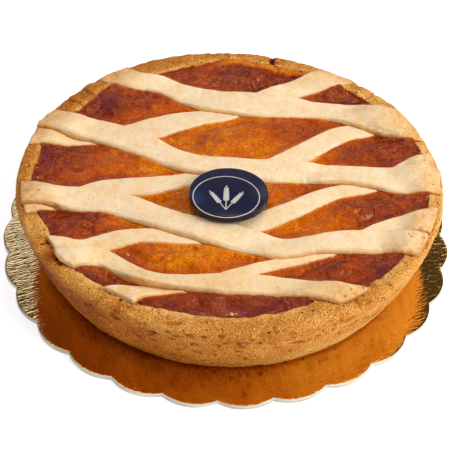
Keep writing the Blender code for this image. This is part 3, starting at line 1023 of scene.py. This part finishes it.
# Where the filling puffed up or sank: plan place and reach, and how far it rose, in mm.
SWELLS = (
    ((-72, 64), (14, 15), 3.12),
    ((-57, 66), (5, 14), -1.3),
    ((-44, 66), (9, 10), 1.3),
    ((-104, 10), (14, 12), 2.34),
    ((-70, 22), (12, 9), 2.08),
    ((-34, 36), (14, 10), 2.34),
    ((-92, -44), (13, 9), 2.21),
    ((-72, -84), (9, 6), 1.82),
    ((-10, -101), (34, 8), 2.21),
    ((38, -71), (16, 9), 1.95),
    ((68, -77), (13, 9), 2.47),
    ((72, -30), (18, 10), 2.08),
    ((95, -24), (12, 8), 1.3),
    ((68, 22), (16, 10), 1.82),
    ((90, 36), (14, 10), 1.95),
    ((65, 84), (14, 7), 1.82),
    ((2, 102), (44, 8), 2.21),
    ((20, 46), (22, 9), 1.17),
)

# Where the skin is wrinkled most: plan place and reach in mm.
WRINKLED = (
    ((-58, 76), (16, 12)),
    ((-34, 80), (16, 8)),
    ((-20, 48), (16, 8)),
    ((60, 12), (14, 10)),
    ((52, 42), (18, 10)),
    ((62, -64), (14, 8)),
    ((-92, 14), (14, 14)),
    ((-78, -40), (18, 8)),
)


def strip_map():
    """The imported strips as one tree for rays, and the plan edge of their shadow as a tree."""
    verts, faces = [], []
    for name in STRIP_NAMES:
        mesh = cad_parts[name].data
        first = len(verts)
        verts.extend(v.co.copy() for v in mesh.vertices)
        faces.extend(tuple(first + k for k in p.vertices) for p in mesh.polygons)
    tree = BVHTree.FromPolygons(verts, faces)
    steps = np.arange(-130, 131) * MM
    heights = np.full((len(steps), len(steps)), np.nan)
    for i, x in enumerate(steps):
        for j, y in enumerate(steps):
            hit = tree.ray_cast(Vector((x, y, 0)), UP)[0]
            if hit is not None:
                heights[i, j] = hit.z
    covered = ~np.isnan(heights)
    inner = covered.copy()
    for axis in (0, 1):
        for way in (-1, 1):
            inner &= np.roll(covered, way, axis)
    cells = np.argwhere(covered & ~inner)
    edge = KDTree(len(cells))
    for k, (i, j) in enumerate(cells):
        edge.insert((steps[i], steps[j], 0), k)
    edge.balance()
    return tree, edge, np.array([heights[i, j] for i, j in cells])


def bake_on_to_crust(points, top):
    """Widens the custard until it bites into the crust, as the real one is baked on to it.

    Returns the wall's radius at each point, and how far the point is from the custard's own edge.
    """
    radius, bearing, plan = plan_of(points)
    lip = by_bearing(bearing[top], radius[top])
    to_lip = np.full(len(points), FAR)
    to_lip[top] = lip - radius[top]
    wall = inner_radius(surface_of(bpy.data.objects["shortcrust_case"]), CUSTARD_EDGE, bearing)
    short = np.zeros(len(points))
    short[top] = np.maximum(wall[top] + CUSTARD_BITE - lip, 0)
    points[:, :2] += outwards(bearing) * (ease(to_lip, 12, 0) * short)[:, None]
    level = CUSTARD_EDGE + (0.7 * noise(points, 9 * MM, 31) + 0.9 * behind_of(plan)) * MM
    rise = np.maximum((level - points[:, 2]) * top, 0)
    points[:, 2] += rise * ease(to_lip, 10.35, 1.35)
    return wall, to_lip


def bake_on_to_strips(points, top):
    """Raises the custard into the strips' undersides and a little up their sides.

    Returns how far each point is from a strip, and how squarely it lies in front of that strip.
    """
    tree, edge, edge_heights = strip_map()
    distance = np.full(len(points), FAR)
    before = np.zeros(len(points))
    for k in np.nonzero(top)[0]:
        x, y, z = points[k]
        hit = tree.ray_cast(Vector((x, y, 0)), UP)[0]
        if hit is not None:
            points[k, 2] = max(z, min(hit.z + 0.7 * MM, z + CUSTARD_CLIMB))
            distance[k] = 0.0
            continue
        near = edge.find_n((x, y, 0), 4)
        distance[k] = near[0][2]
        before[k] = (near[0][0].y - y) / max(distance[k], 0.1 * MM)
        level = np.mean([edge_heights[index] for _, index, _ in near]) + CUSTARD_GRIP
        rise = max(0.0, min(level, z + CUSTARD_CLIMB) - z)
        points[k, 2] = z + rise * float(ease(distance[k], 7, 1))
    return distance, before


def wrinkled_skin(plan, distance):
    """Creases where the skin sank again after the oven, along lines that meet and part.

    Returns how deep in a crease each point is, and how far out on a bulge between creases.
    """
    folds = noise(plan * (0.7, 1.0), 8 * MM, 41) + 0.6 * noise(plan, 4.5 * MM, 42)
    wrinkled = smooth(0.55 + 1.1 * noise(plan, 26 * MM, 43)) * ease(distance, 0, 3)
    for place, reach in WRINKLED:
        wrinkled = np.maximum(wrinkled, spot(plan, place, reach) * 1.3)
    crease = smooth(1 - np.abs(folds) / 0.16) * wrinkled
    bulge = smooth(np.abs(folds) / 0.5) * wrinkled
    return crease, bulge


class PASTIERA_OT_custard(bpy.types.Operator):
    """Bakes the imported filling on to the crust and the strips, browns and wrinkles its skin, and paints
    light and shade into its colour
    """

    bl_idname = "pastiera.custard"
    bl_label = "Custard"

    def execute(self, context):
        settings = context.scene.pastiera_custard
        piece = merged_copy("custard", "filling")
        subdivide(piece, 3)
        points, normals = read_points(piece)
        top = (normals[:, 2] > -0.4) & (points[:, 2] > 40 * MM)
        wall, to_lip = bake_on_to_crust(points, top)
        distance, before = bake_on_to_strips(points, top)
        write_points(piece, points)
        modify(piece, "SMOOTH", factor=0.5, iterations=3, use_x=False, use_y=False)
        points, _ = read_points(piece)
        radius, _, plan = plan_of(points)
        # Behind on the right it boiled over on to a low orange ledge along the crust.
        to_crust = wall - radius + 0.9 * MM * noise(plan, 9 * MM, 35)
        boiled = ease(plan[:, 0], -16, -4) * ease(plan[:, 0], 58, 48)
        boiled *= top * (plan[:, 1] > 60 * MM)
        ledge = ease(to_crust, 5.6, 4.4) * boiled
        groove = smooth(1 - np.abs(to_crust - 6.2 * MM) / (1.6 * MM)) * boiled
        points[:, 2] += (1.1 * ledge - 0.6 * groove) * MM
        clear = ease(distance, 0, 5) * ease(to_lip, 0, 6) * top
        swell = 1.2 * noise(plan, 15 * MM, 32)
        swell += 0.7 * noise(plan, 7 * MM, 33) + 0.4 * noise(plan, 3.4 * MM, 34)
        for place, reach, height in SWELLS:
            swell += height * spot(plan, place, reach)
        points[:, 2] += clear * swell * MM
        crease, bulge = wrinkled_skin(plan, distance)
        points[:, 2] += settings.wrinkle * (0.5 * bulge - crease) * top
        write_points(piece, points)
        roughen(piece, ((4, 0.5), (1.8, 0.4)))
        # Towards the rim it browned more, and most in some patches.
        toast_and_painted_light = ease(radius, 40, 110) * 0.55 + 0.22
        for place, reach, dark in BROWNING:
            share = spot(plan, place, reach)
            toast_and_painted_light += (dark - toast_and_painted_light) * np.minimum(share * 1.4, 1)
        toast_and_painted_light += 0.1 * noise(points, 16 * MM, 5) + 0.08 * noise(points, 6 * MM, 6)
        # Painted shade: the creases are drawn browner.
        toast_and_painted_light += 0.18 * crease * top
        toast_and_painted_light += (0.1 - toast_and_painted_light) * ledge + 0.6 * groove
        # Painted shade: browner along the lip in front, where the custard slopes down to it.
        toast_and_painted_light += 0.15 * ease(to_lip, 6.5, 1.5) * (plan[:, 1] < 0)
        # Painted light: paler custard just in front of a strip, lifting the shade that the strip casts
        # there.
        toast_and_painted_light -= 0.5 * smooth(before) * ease(distance, 2.64, 0.44)
        paint(piece, "toast_and_painted_light", toast_and_painted_light)
        finish_piece(piece, custard_material(settings), "filling", slot="filling")
        return {"FINISHED"}


# ---------------------------------------------------------------- strips

SIDE_REACH = 5 * MM  # the most that a strip's side hangs down to what is under it
SIDE_BITE = 0.15 * MM  # how far it then reaches into that
# Marks pressed into the strips: plan place and reach, and how far they sink, in mm.
STRIP_MARKS = {
    "strip_over_2": (((47, -7), (2.2, 11), 0.5), ((-83, 62), (2, 7), 0.4)),
    "strip_over_1": (((-20, 82), (2.5, 8), 0.3), ((82, 61), (14, 10), -0.9), ((94, 44), (13, 6), 1.4)),
    "strip_over_3": (((-12, -50), (22, 12), -0.9), ((-100, 8), (3, 5), 0.5)),
    "strip_over_4": (((70, -98), (6, 3), 0.9), ((-94, -62), (4, 5), 0.8)),
    "strip_under_3": (((-92, -68), (4, 5), 0.7), ((102, -47), (6, 1.6), 1.2)),
    "strip_under_2": (((-112, -30), (4, 5), 0.6),),
}


def lay_sides_down(piece, points, normals, grounds):
    """Spreads a strip's cut sides at their foot and brings them down on what is under the strip."""
    low = smooth((0.2 - normals[:, 2]) / 0.9)
    points += normals * np.array((1, 1, 0)) * (low * 1.1 * MM)[:, None]
    gaps = np.zeros(len(points))
    for k in np.nonzero(low > 0.02)[0]:
        hits = [ground.ray_cast(Vector(points[k]), -UP, SIDE_REACH)[3] for ground in grounds]
        gaps[k] = min((hit for hit in hits if hit is not None), default=0.2 * MM) + SIDE_BITE
    points[:, 2] -= low * with_slopes(piece, gaps, low > 0.02, 4)


def strip_toast_and_painted_shade(points, normals, radius, bearing, plan):
    """How brown a strip is: most at its ends and least in front on the left, with its sides and underside
    drawn browner as painted shade.
    """
    toast_and_painted_light = 0.4 * ease(radius, 100, 126) + 0.12 * noise(points, 18 * MM, 11)
    # Painted shade: browner on the sides, most on the underside.
    toast_and_painted_light += 0.16 * smooth((0.55 - normals[:, 2]) / 0.5) + 0.4 * smooth(-normals[:, 2] / 0.5)
    toast_and_painted_light += 0.2 * ease(plan[:, 1], -45, -95)
    pale = smooth(1 - np.abs(turned(bearing, math.radians(-128))) / 0.7)
    toast_and_painted_light -= 0.34 * pale * ease(radius, 100, 114)
    patches = smooth(noise(plan, 9 * MM, 17) * 2 - 0.8)
    return toast_and_painted_light + 0.16 * patches * ease(radius, 70, 110)


class PASTIERA_OT_strips(bpy.types.Operator):
    """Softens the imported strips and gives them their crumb, toasted ends and custard stains"""

    bl_idname = "pastiera.strips"
    bl_label = "Strips"

    def execute(self, context):
        settings = context.scene.pastiera_strips
        custard = surface_of(bpy.data.objects["custard"])
        grounds = [custard]
        material = strip_material(settings)
        for name in STRIP_NAMES:
            piece = merged_copy(name.replace("strip", "pastry"), name)
            hold_edges(piece, math.radians(35), 0.5)
            subdivide(piece, 3)
            modify(piece, "DISPLACE", strength=settings.swelling, mid_level=0.0)
            roughen(piece, ((11, 0.6), (3, 0.3), (1.4, 0.16)))
            points, normals = read_points(piece)
            radius, bearing, plan = plan_of(points)
            # An end in front on the left was pulled out over the rim.
            pulled = spot(plan, (-93, -80), (13, 12)) * 4.5 * MM
            points[:, :2] += outwards(bearing) * pulled[:, None]
            lay_sides_down(piece, points, normals, grounds)
            # The ends broke where they were pinched off against the rim, thick ones in front.
            end = ease(radius, 111, 120)
            chipped = noise(points, 2.6 * MM, 15) + 0.6 * noise(points, 1.4 * MM, 16)
            points += normals * (end**2 * chipped * 0.35 * MM)[:, None]
            in_front = ease(plan[:, 1], -20, -70)
            thick = end * in_front * smooth(normals[:, 2] / 0.5)
            points[:, 2] += thick * (1.0 + 0.15 * chipped) * MM
            for place, reach, depth in STRIP_MARKS.get(name, ()):
                points[:, 2] -= spot(plan, place, reach) * depth * MM * (normals[:, 2] > 0.2)
            write_points(piece, points)
            toast_and_painted_light = strip_toast_and_painted_shade(points, normals, radius, bearing, plan) + 0.14 * end * chipped
            paint(piece, "toast_and_painted_light", toast_and_painted_light)
            away = np.array([custard.find_nearest(Vector(p))[3] for p in points])
            paint(piece, "stain", 0.7 * ease(away, 0.9, 0))
            if "under" in name:
                grounds.append(surface_of(piece))
            finish_piece(piece, material, name, slot="strips")
        return {"FINISHED"}


# ---------------------------------------------------------------- plaque

PRINT_PROUD = 0.2 * MM  # thickness of the printed sheaf
PRINT_SUNK = 0.08 * MM  # how much of it is below the plaque's surface
STALK_WIDTH = 0.6 * MM
STALK_LENGTH = 7.5 * MM
EAR_GRAINS = 6  # pairs of grains in an ear
EAR_PITCH = 2.1 * MM
EAR_LEAN = 27  # degrees
GRAIN_PLUMP = 0.42  # a grain's width against its length
PLAQUE_SLOPE = 0.07  # how steeply the plaque falls towards the back


def wheat_grain(settings):
    """One flat grain of the printed ears, pointed at both ends, lying along X with its tip at 0."""
    bpy.ops.object.select_all(action="DESELECT")
    bpy.ops.mesh.primitive_circle_add(vertices=12, radius=0.5, fill_type="NGON", location=(0, 0, 0))
    grain = bpy.context.object
    length = settings.grain_length
    for vert in grain.data.vertices:
        x, y, _ = vert.co
        pinch = 1 - 0.75 * (2 * x) ** 2
        vert.co = ((x + 0.5) * length, y * GRAIN_PLUMP * length * pinch, 0)
    thicken(PRINT_PROUD)
    return grain


def placed_copy(piece, matrix):
    """A copy of a piece with its own mesh, moved in the mesh."""
    copy = piece.copy()
    copy.data = piece.data.copy()
    copy.data.transform(matrix)
    bpy.context.scene.collection.objects.link(copy)
    return copy


def joined(parts, name):
    """Joins the parts into one piece with its faces outward."""
    only(parts[0])
    for part in parts:
        part.select_set(True)
    bpy.ops.object.join()
    piece = bpy.context.object
    piece.name = name
    bpy.ops.object.mode_set(mode="EDIT")
    bpy.ops.mesh.select_all(action="SELECT")
    bpy.ops.mesh.normals_make_consistent(inside=False)
    bpy.ops.object.mode_set(mode="OBJECT")
    return piece


def wheat_ear(settings):
    """One ear of wheat on its stalk, pointing along Y with the stalk's foot at the origin."""
    grain = wheat_grain(settings)
    bpy.ops.object.select_all(action="DESELECT")
    bpy.ops.mesh.primitive_plane_add(size=1, location=(0, 0, 0))
    stalk = bpy.context.object
    for vert in stalk.data.vertices:
        x, y, _ = vert.co
        vert.co = (x * STALK_WIDTH, (y + 0.5) * (STALK_LENGTH + EAR_GRAINS * EAR_PITCH), 0)
    thicken(PRINT_PROUD)
    parts = [stalk]
    for k in range(EAR_GRAINS + 1):
        foot = Matrix.Translation((0, STALK_LENGTH + k * EAR_PITCH, 0))
        for lean in (-EAR_LEAN, EAR_LEAN) if k < EAR_GRAINS else (0,):
            size = 1 - 0.3 * (k / EAR_GRAINS) ** 2
            turn = Matrix.Rotation(math.radians(90 + lean), 4, "Z") @ Matrix.Scale(size, 4)
            parts.append(placed_copy(grain, foot @ turn))
    bpy.data.objects.remove(grain)
    return joined(parts, "ear")


def printed_ring(settings):
    """A thin raised ring, flat at the origin."""
    bpy.ops.object.select_all(action="DESELECT")
    bpy.ops.mesh.primitive_circle_add(
        vertices=96, radius=settings.ring_radius, fill_type="NOTHING", location=(0, 0, 0)
    )
    ring = bpy.context.object
    wider = 1 + STALK_WIDTH / settings.ring_radius
    bpy.ops.object.mode_set(mode="EDIT")
    bpy.ops.mesh.select_all(action="SELECT")
    bpy.ops.mesh.extrude_edges_move()
    bpy.ops.transform.resize(value=(wider, wider, 1))
    bpy.ops.object.mode_set(mode="OBJECT")
    thicken(PRINT_PROUD)
    return ring


def printed_sheaf(settings):
    """Three ears of wheat fanned from one foot inside a thin ring, flat at the origin."""
    ear = wheat_ear(settings)
    foot = Matrix.Translation((0, -settings.sheaf_height / 2, -PRINT_SUNK))
    parts = []
    for lean, size in ((-30, 0.88), (0, 1.0), (30, 0.88)):
        parts.append(
            placed_copy(ear, foot @ Matrix.Rotation(math.radians(lean), 4, "Z") @ Matrix.Scale(size, 4))
        )
    bpy.data.objects.remove(ear)
    ring = printed_ring(settings)
    ring.data.transform(Matrix.Translation((0, 0, -PRINT_SUNK)))
    return joined([*parts, ring], "wheat_sheaf")


class PASTIERA_OT_plaque(bpy.types.Operator):
    """Models the glossy round plaque and the sheaf of wheat printed on it"""

    bl_idname = "pastiera.plaque"
    bl_label = "Plaque"

    def execute(self, context):
        settings = context.scene.pastiera_plaque
        piece = merged_copy("glossy_plaque", "plaque")
        # It sank a little into the soft strips in front.
        points, _ = read_points(piece)
        low = points[:, 2] < points[:, 2].mean() - PLAQUE_SLOPE * (points[:, 1] - points[:, 1].mean())
        points[:, 2] -= low * ease(points[:, 1], 30, -20) * 1.3 * MM
        write_points(piece, points)
        modify(piece, "BEVEL", width=0.25 * MM, segments=3, limit_method="ANGLE")
        finish_piece(piece, plaque_material(settings), "plaque", slot="plaque")
        bpy.ops.object.shade_smooth_by_angle(angle=math.radians(35))
        flats = [f for f in piece.data.polygons if f.normal.z > 0.95]
        face = max(flats, key=lambda f: f.area)
        tilt = UP.rotation_difference(face.normal).to_matrix().to_4x4()
        lay = Matrix.Translation(face.center) @ tilt
        sheaf = printed_sheaf(settings)
        sheaf.data.transform(lay)
        finish_piece(sheaf, print_material(settings), slot="plaque")
        return {"FINISHED"}


# ---------------------------------------------------------------- crumbs

# Crumbs that the eye catches: plan place in mm, and size against a large crumb.
CRUMBS = (
    ((3.5, -113.5), 1.5),
    ((6, -112.5), 0.9),
    ((1, -113.5), 0.8),
    ((48, -103), 1.4),
    ((51, -102), 1.0),
    ((-55, -69), 1.5),
    ((69, -99), 1.4),
    ((74, -95), 1.2),
    ((64, -102), 1.1),
    ((104, -49), 1.2),
    ((-110, -28), 1.3),
    ((84, 84), 1.3),
    ((90, 77), 1.0),
    ((119, 24), 1.2),
)
# Where the lip broke into crumbs: first and last bearing in degrees, radius in mm, and how many.
CRUMBLY = ((-136, -112, 119.5, 60), (-170, -146, 120.5, 12))
CRUMB_SINK = 0.45  # share of a crumb's size that is baked into what it lies on


class PASTIERA_OT_crumbs(bpy.types.Operator):
    """Scatters broken crumbs on the rim, the strips' ends and the custard"""

    bl_idname = "pastiera.crumbs"
    bl_label = "Crumbs"

    def execute(self, context):
        settings = context.scene.pastiera_crumbs
        names = ["shortcrust_case", "custard"] + [n.replace("strip", "pastry") for n in STRIP_NAMES]
        grounds = [surface_of(bpy.data.objects[name]) for name in names]
        rng = np.random.default_rng(21)
        places = list(CRUMBS)
        for _ in range(settings.loose):
            angle = rng.uniform(-math.pi, math.pi)
            radius = rng.uniform(115, 126)
            places.append((around(angle, radius), rng.uniform(0.35, 0.9)))
        for first, last, radius, count in CRUMBLY:
            for _ in range(count):
                angle = math.radians(rng.uniform(first, last))
                out = radius + rng.uniform(-1.2, 1.2)
                places.append((around(angle, out), rng.uniform(0.35, 0.9)))
        crumbs = []
        for (x, y), share in places:
            above = Vector((x * MM + PIE_X, y * MM, 100 * MM))
            hits = [ground.ray_cast(above, -UP)[0] for ground in grounds]
            level = max(hit.z for hit in hits if hit is not None)
            size = settings.size * share
            bpy.ops.object.select_all(action="DESELECT")
            bpy.ops.mesh.primitive_ico_sphere_add(subdivisions=2, radius=size / 2, location=(0, 0, 0))
            crumb = context.object
            points, normals = read_points(crumb)
            uneven = noise(points + rng.uniform(0, 1), size * 0.45, 3)
            points += normals * (uneven * size * 0.3)[:, None]
            points *= rng.uniform(0.5, 1.3, 3) * (1, 1, 0.7)
            spin = rng.uniform(0, math.pi)
            turn = np.array((around(spin, 1), around(spin + math.pi / 2, 1)))
            across = points[:, :2] @ turn
            points[:, :2] = across + (above.x, above.y)
            points[:, 2] += level + size * (0.5 - CRUMB_SINK)
            write_points(crumb, points)
            paint(crumb, "toast_and_painted_light", np.full(len(points), rng.uniform(0.1, 0.6)))
            bpy.ops.object.shade_smooth()
            crumbs.append(crumb)
        finish_piece(joined(crumbs, "crumbs"), crumb_material(), slot="crust")
        return {"FINISHED"}


# ---------------------------------------------------------------- studio

CAMERA_ELEVATION = math.radians(43.75)
CAMERA_DISTANCE = 0.64
CAMERA_ROLL = math.radians(1.78)
PHOTO_SIDE = 452  # pixels
FOCAL_PIXELS = 1005
SHIFT_PIXELS = (-1.3, 0.3)
SENSOR = 36.0

# Soft lights: name, azimuth and elevation in degrees, distance and size in metres, and watts.
LIGHTS = (
    ("overhead", 0, 88, 1.3, 1.2, 6),
    ("hair", 178, 64, 1.3, 0.3, 2.2),
    ("key", 70, 36, 1.2, 0.5, 9),
)
# Patches of the room: azimuth, elevation, radius of the even middle and of the edge in degrees,
# brightness and colour. The foil, the custard and the plaque mirror those behind.
WORLD_PATCHES = (
    (285, 15, 20, 75, 0.12, "F6F4F2"),
    (178, 48, 32, 44, 0.1, "DCD4F4"),
    (5, 20, 20, 70, 0.5, "F6F4F2"),
    (185, 8, 14, 26, 0.6, "C4B8DC"),
    (222, 26, 8, 26, 0.9, "B4B0E6"),
    (163, 31, 2, 8, 2.2, "FFEEDC"),
    (158, 29, 3, 10, 1.3, "FFF0D8"),
    (198, 37.5, 3, 8, 3.9, "9AACFF"),
)


def place_camera():
    """The camera that took the photo, fitted to the card's and the rim's outlines."""
    camera = bpy.data.cameras.new("camera")
    camera.sensor_width = SENSOR
    camera.lens = FOCAL_PIXELS / PHOTO_SIDE * SENSOR
    camera.shift_x, camera.shift_y = (s / PHOTO_SIDE for s in SHIFT_PIXELS)
    back = Vector((0, -math.cos(CAMERA_ELEVATION), math.sin(CAMERA_ELEVATION)))
    right = Vector((1, 0, 0))
    up = back.cross(right)
    turned_right = right * math.cos(CAMERA_ROLL) + up * math.sin(CAMERA_ROLL)
    turned_up = up * math.cos(CAMERA_ROLL) - right * math.sin(CAMERA_ROLL)
    place = Vector((PIE_X, 0, CARD_TOP)) + back * CAMERA_DISTANCE
    holder = bpy.data.objects.new("camera", camera)
    facing = Matrix((turned_right, turned_up, back)).transposed().to_4x4()
    holder.matrix_world = Matrix.Translation(place) @ facing
    bpy.context.scene.collection.objects.link(holder)
    bpy.context.scene.camera = holder


def softbox(name, azimuth, elevation, distance, size, power):
    """A square light aimed at the pie; azimuth 0 is in front of it, 90 on its right."""
    light = bpy.data.lights.new(name, "AREA")
    light.shape = "SQUARE"
    light.size = size
    light.energy = power
    lamp = bpy.data.objects.new(name, light)
    away = direction(azimuth, elevation)
    lamp.location = away * distance
    lamp.rotation_euler = away.to_track_quat("Z", "Y").to_euler()
    bpy.context.scene.collection.objects.link(lamp)


def direction(azimuth, elevation):
    """A unit vector; azimuth 0 points in front of the pie, 90 to its right, 180 behind it."""
    turn, rise = math.radians(azimuth), math.radians(elevation)
    return Vector((math.sin(turn) * math.cos(rise), -math.cos(turn) * math.cos(rise), math.sin(rise)))


def glow(strength, code):
    """A colour of light at a strength that may be over 1."""
    return (*(strength * value for value in srgb(code)[:3]), 1.0)


def studio_world():
    """Dim grey room, dark on the left and high behind, with pale panels and small windows behind."""
    world = bpy.data.worlds.new("studio")
    world.use_nodes = True
    tree = world.node_tree
    tree.nodes.clear()
    looking = add(tree, "ShaderNodeTexCoord").outputs["Generated"]
    colour = add(tree, "ShaderNodeRGB")
    colour.outputs[0].default_value = glow(0.38, "F6F4F2")
    level = colour.outputs[0]
    for azimuth, elevation, inner, outer, strength, tint in WORLD_PATCHES:
        towards = add(
            tree,
            "ShaderNodeVectorMath",
            {0: looking, 1: direction(azimuth, elevation)},
            operation="DOT_PRODUCT",
        )
        mask = add(
            tree,
            "ShaderNodeMapRange",
            {
                "Value": towards.outputs["Value"],
                "From Min": math.cos(math.radians(outer)),
                "From Max": math.cos(math.radians(inner)),
            },
            interpolation_type="SMOOTHSTEP",
        )
        level = add(
            tree,
            "ShaderNodeMix",
            {0: mask.outputs[0], 6: level, 7: glow(strength, tint)},
            data_type="RGBA",
        ).outputs[2]
    background = add(tree, "ShaderNodeBackground", {"Color": level, "Strength": 1.0})
    output = add(tree, "ShaderNodeOutputWorld")
    tree.links.new(background.outputs[0], output.inputs["Surface"])
    return world


def floor_material():
    """Matt white paper sweep, lit from within a little, as a bright product table is."""
    material, tree, _ = new_material("white_sweep")
    finish_material(
        tree,
        {
            "Base Color": srgb("F7F7F7"),
            "Roughness": 0.9,
            "Specular IOR Level": 0.0,
            "Emission Color": srgb("FFFFFF"),
            "Emission Strength": 0.42,
        },
    )
    return material


class PASTIERA_OT_studio(bpy.types.Operator):
    """Sets up the floor, the soft lights and the camera"""

    bl_idname = "pastiera.studio"
    bl_label = "Studio"

    def execute(self, context):
        place_camera()
        bpy.ops.object.select_all(action="DESELECT")
        bpy.ops.mesh.primitive_plane_add(size=6, location=(0, 0, 0))
        floor = context.object
        floor.name = "floor"
        floor.data.materials.append(floor_material())
        for light in LIGHTS:
            softbox(*light)
        context.scene.world = studio_world()
        context.scene.view_settings.view_transform = "Standard"
        return {"FINISHED"}


# ---------------------------------------------------------------- panel and registration

OPERATORS = (
    PASTIERA_OT_card,
    PASTIERA_OT_crust,
    PASTIERA_OT_custard,
    PASTIERA_OT_strips,
    PASTIERA_OT_plaque,
    PASTIERA_OT_crumbs,
    PASTIERA_OT_studio,
)
SETTINGS = {
    "pastiera_card": PastieraCard,
    "pastiera_crust": PastieraCrust,
    "pastiera_custard": PastieraCustard,
    "pastiera_strips": PastieraStrips,
    "pastiera_plaque": PastieraPlaque,
    "pastiera_crumbs": PastieraCrumbs,
}


class PASTIERA_PT_panel(bpy.types.Panel):
    """Lists every setting and a button for every operator"""

    bl_idname = "PASTIERA_PT_panel"
    bl_label = "Pastiera"
    bl_space_type = "VIEW_3D"
    bl_region_type = "UI"
    bl_category = "Pastiera"

    def draw(self, context):
        for group in SETTINGS:
            settings = getattr(context.scene, group)
            for name in settings.__annotations__:
                self.layout.prop(settings, name)
        for operator in OPERATORS:
            self.layout.operator(operator.bl_idname)


CLASSES = (*SETTINGS.values(), *OPERATORS, PASTIERA_PT_panel)


def register():
    """Adds the classes and the scene's settings to Blender."""
    for kind in CLASSES:
        bpy.utils.register_class(kind)
    for group, kind in SETTINGS.items():
        setattr(bpy.types.Scene, group, bpy.props.PointerProperty(type=kind))


def unregister():
    """Takes them out again."""
    for group in SETTINGS:
        delattr(bpy.types.Scene, group)
    for kind in reversed(CLASSES):
        bpy.utils.unregister_class(kind)


def main():
    """Builds the whole scene."""
    register()
    bpy.ops.pastiera.card()
    bpy.ops.pastiera.crust()
    bpy.ops.pastiera.custard()
    bpy.ops.pastiera.strips()
    bpy.ops.pastiera.plaque()
    bpy.ops.pastiera.crumbs()
    bpy.ops.pastiera.studio()


if __name__ == "__main__":
    main()
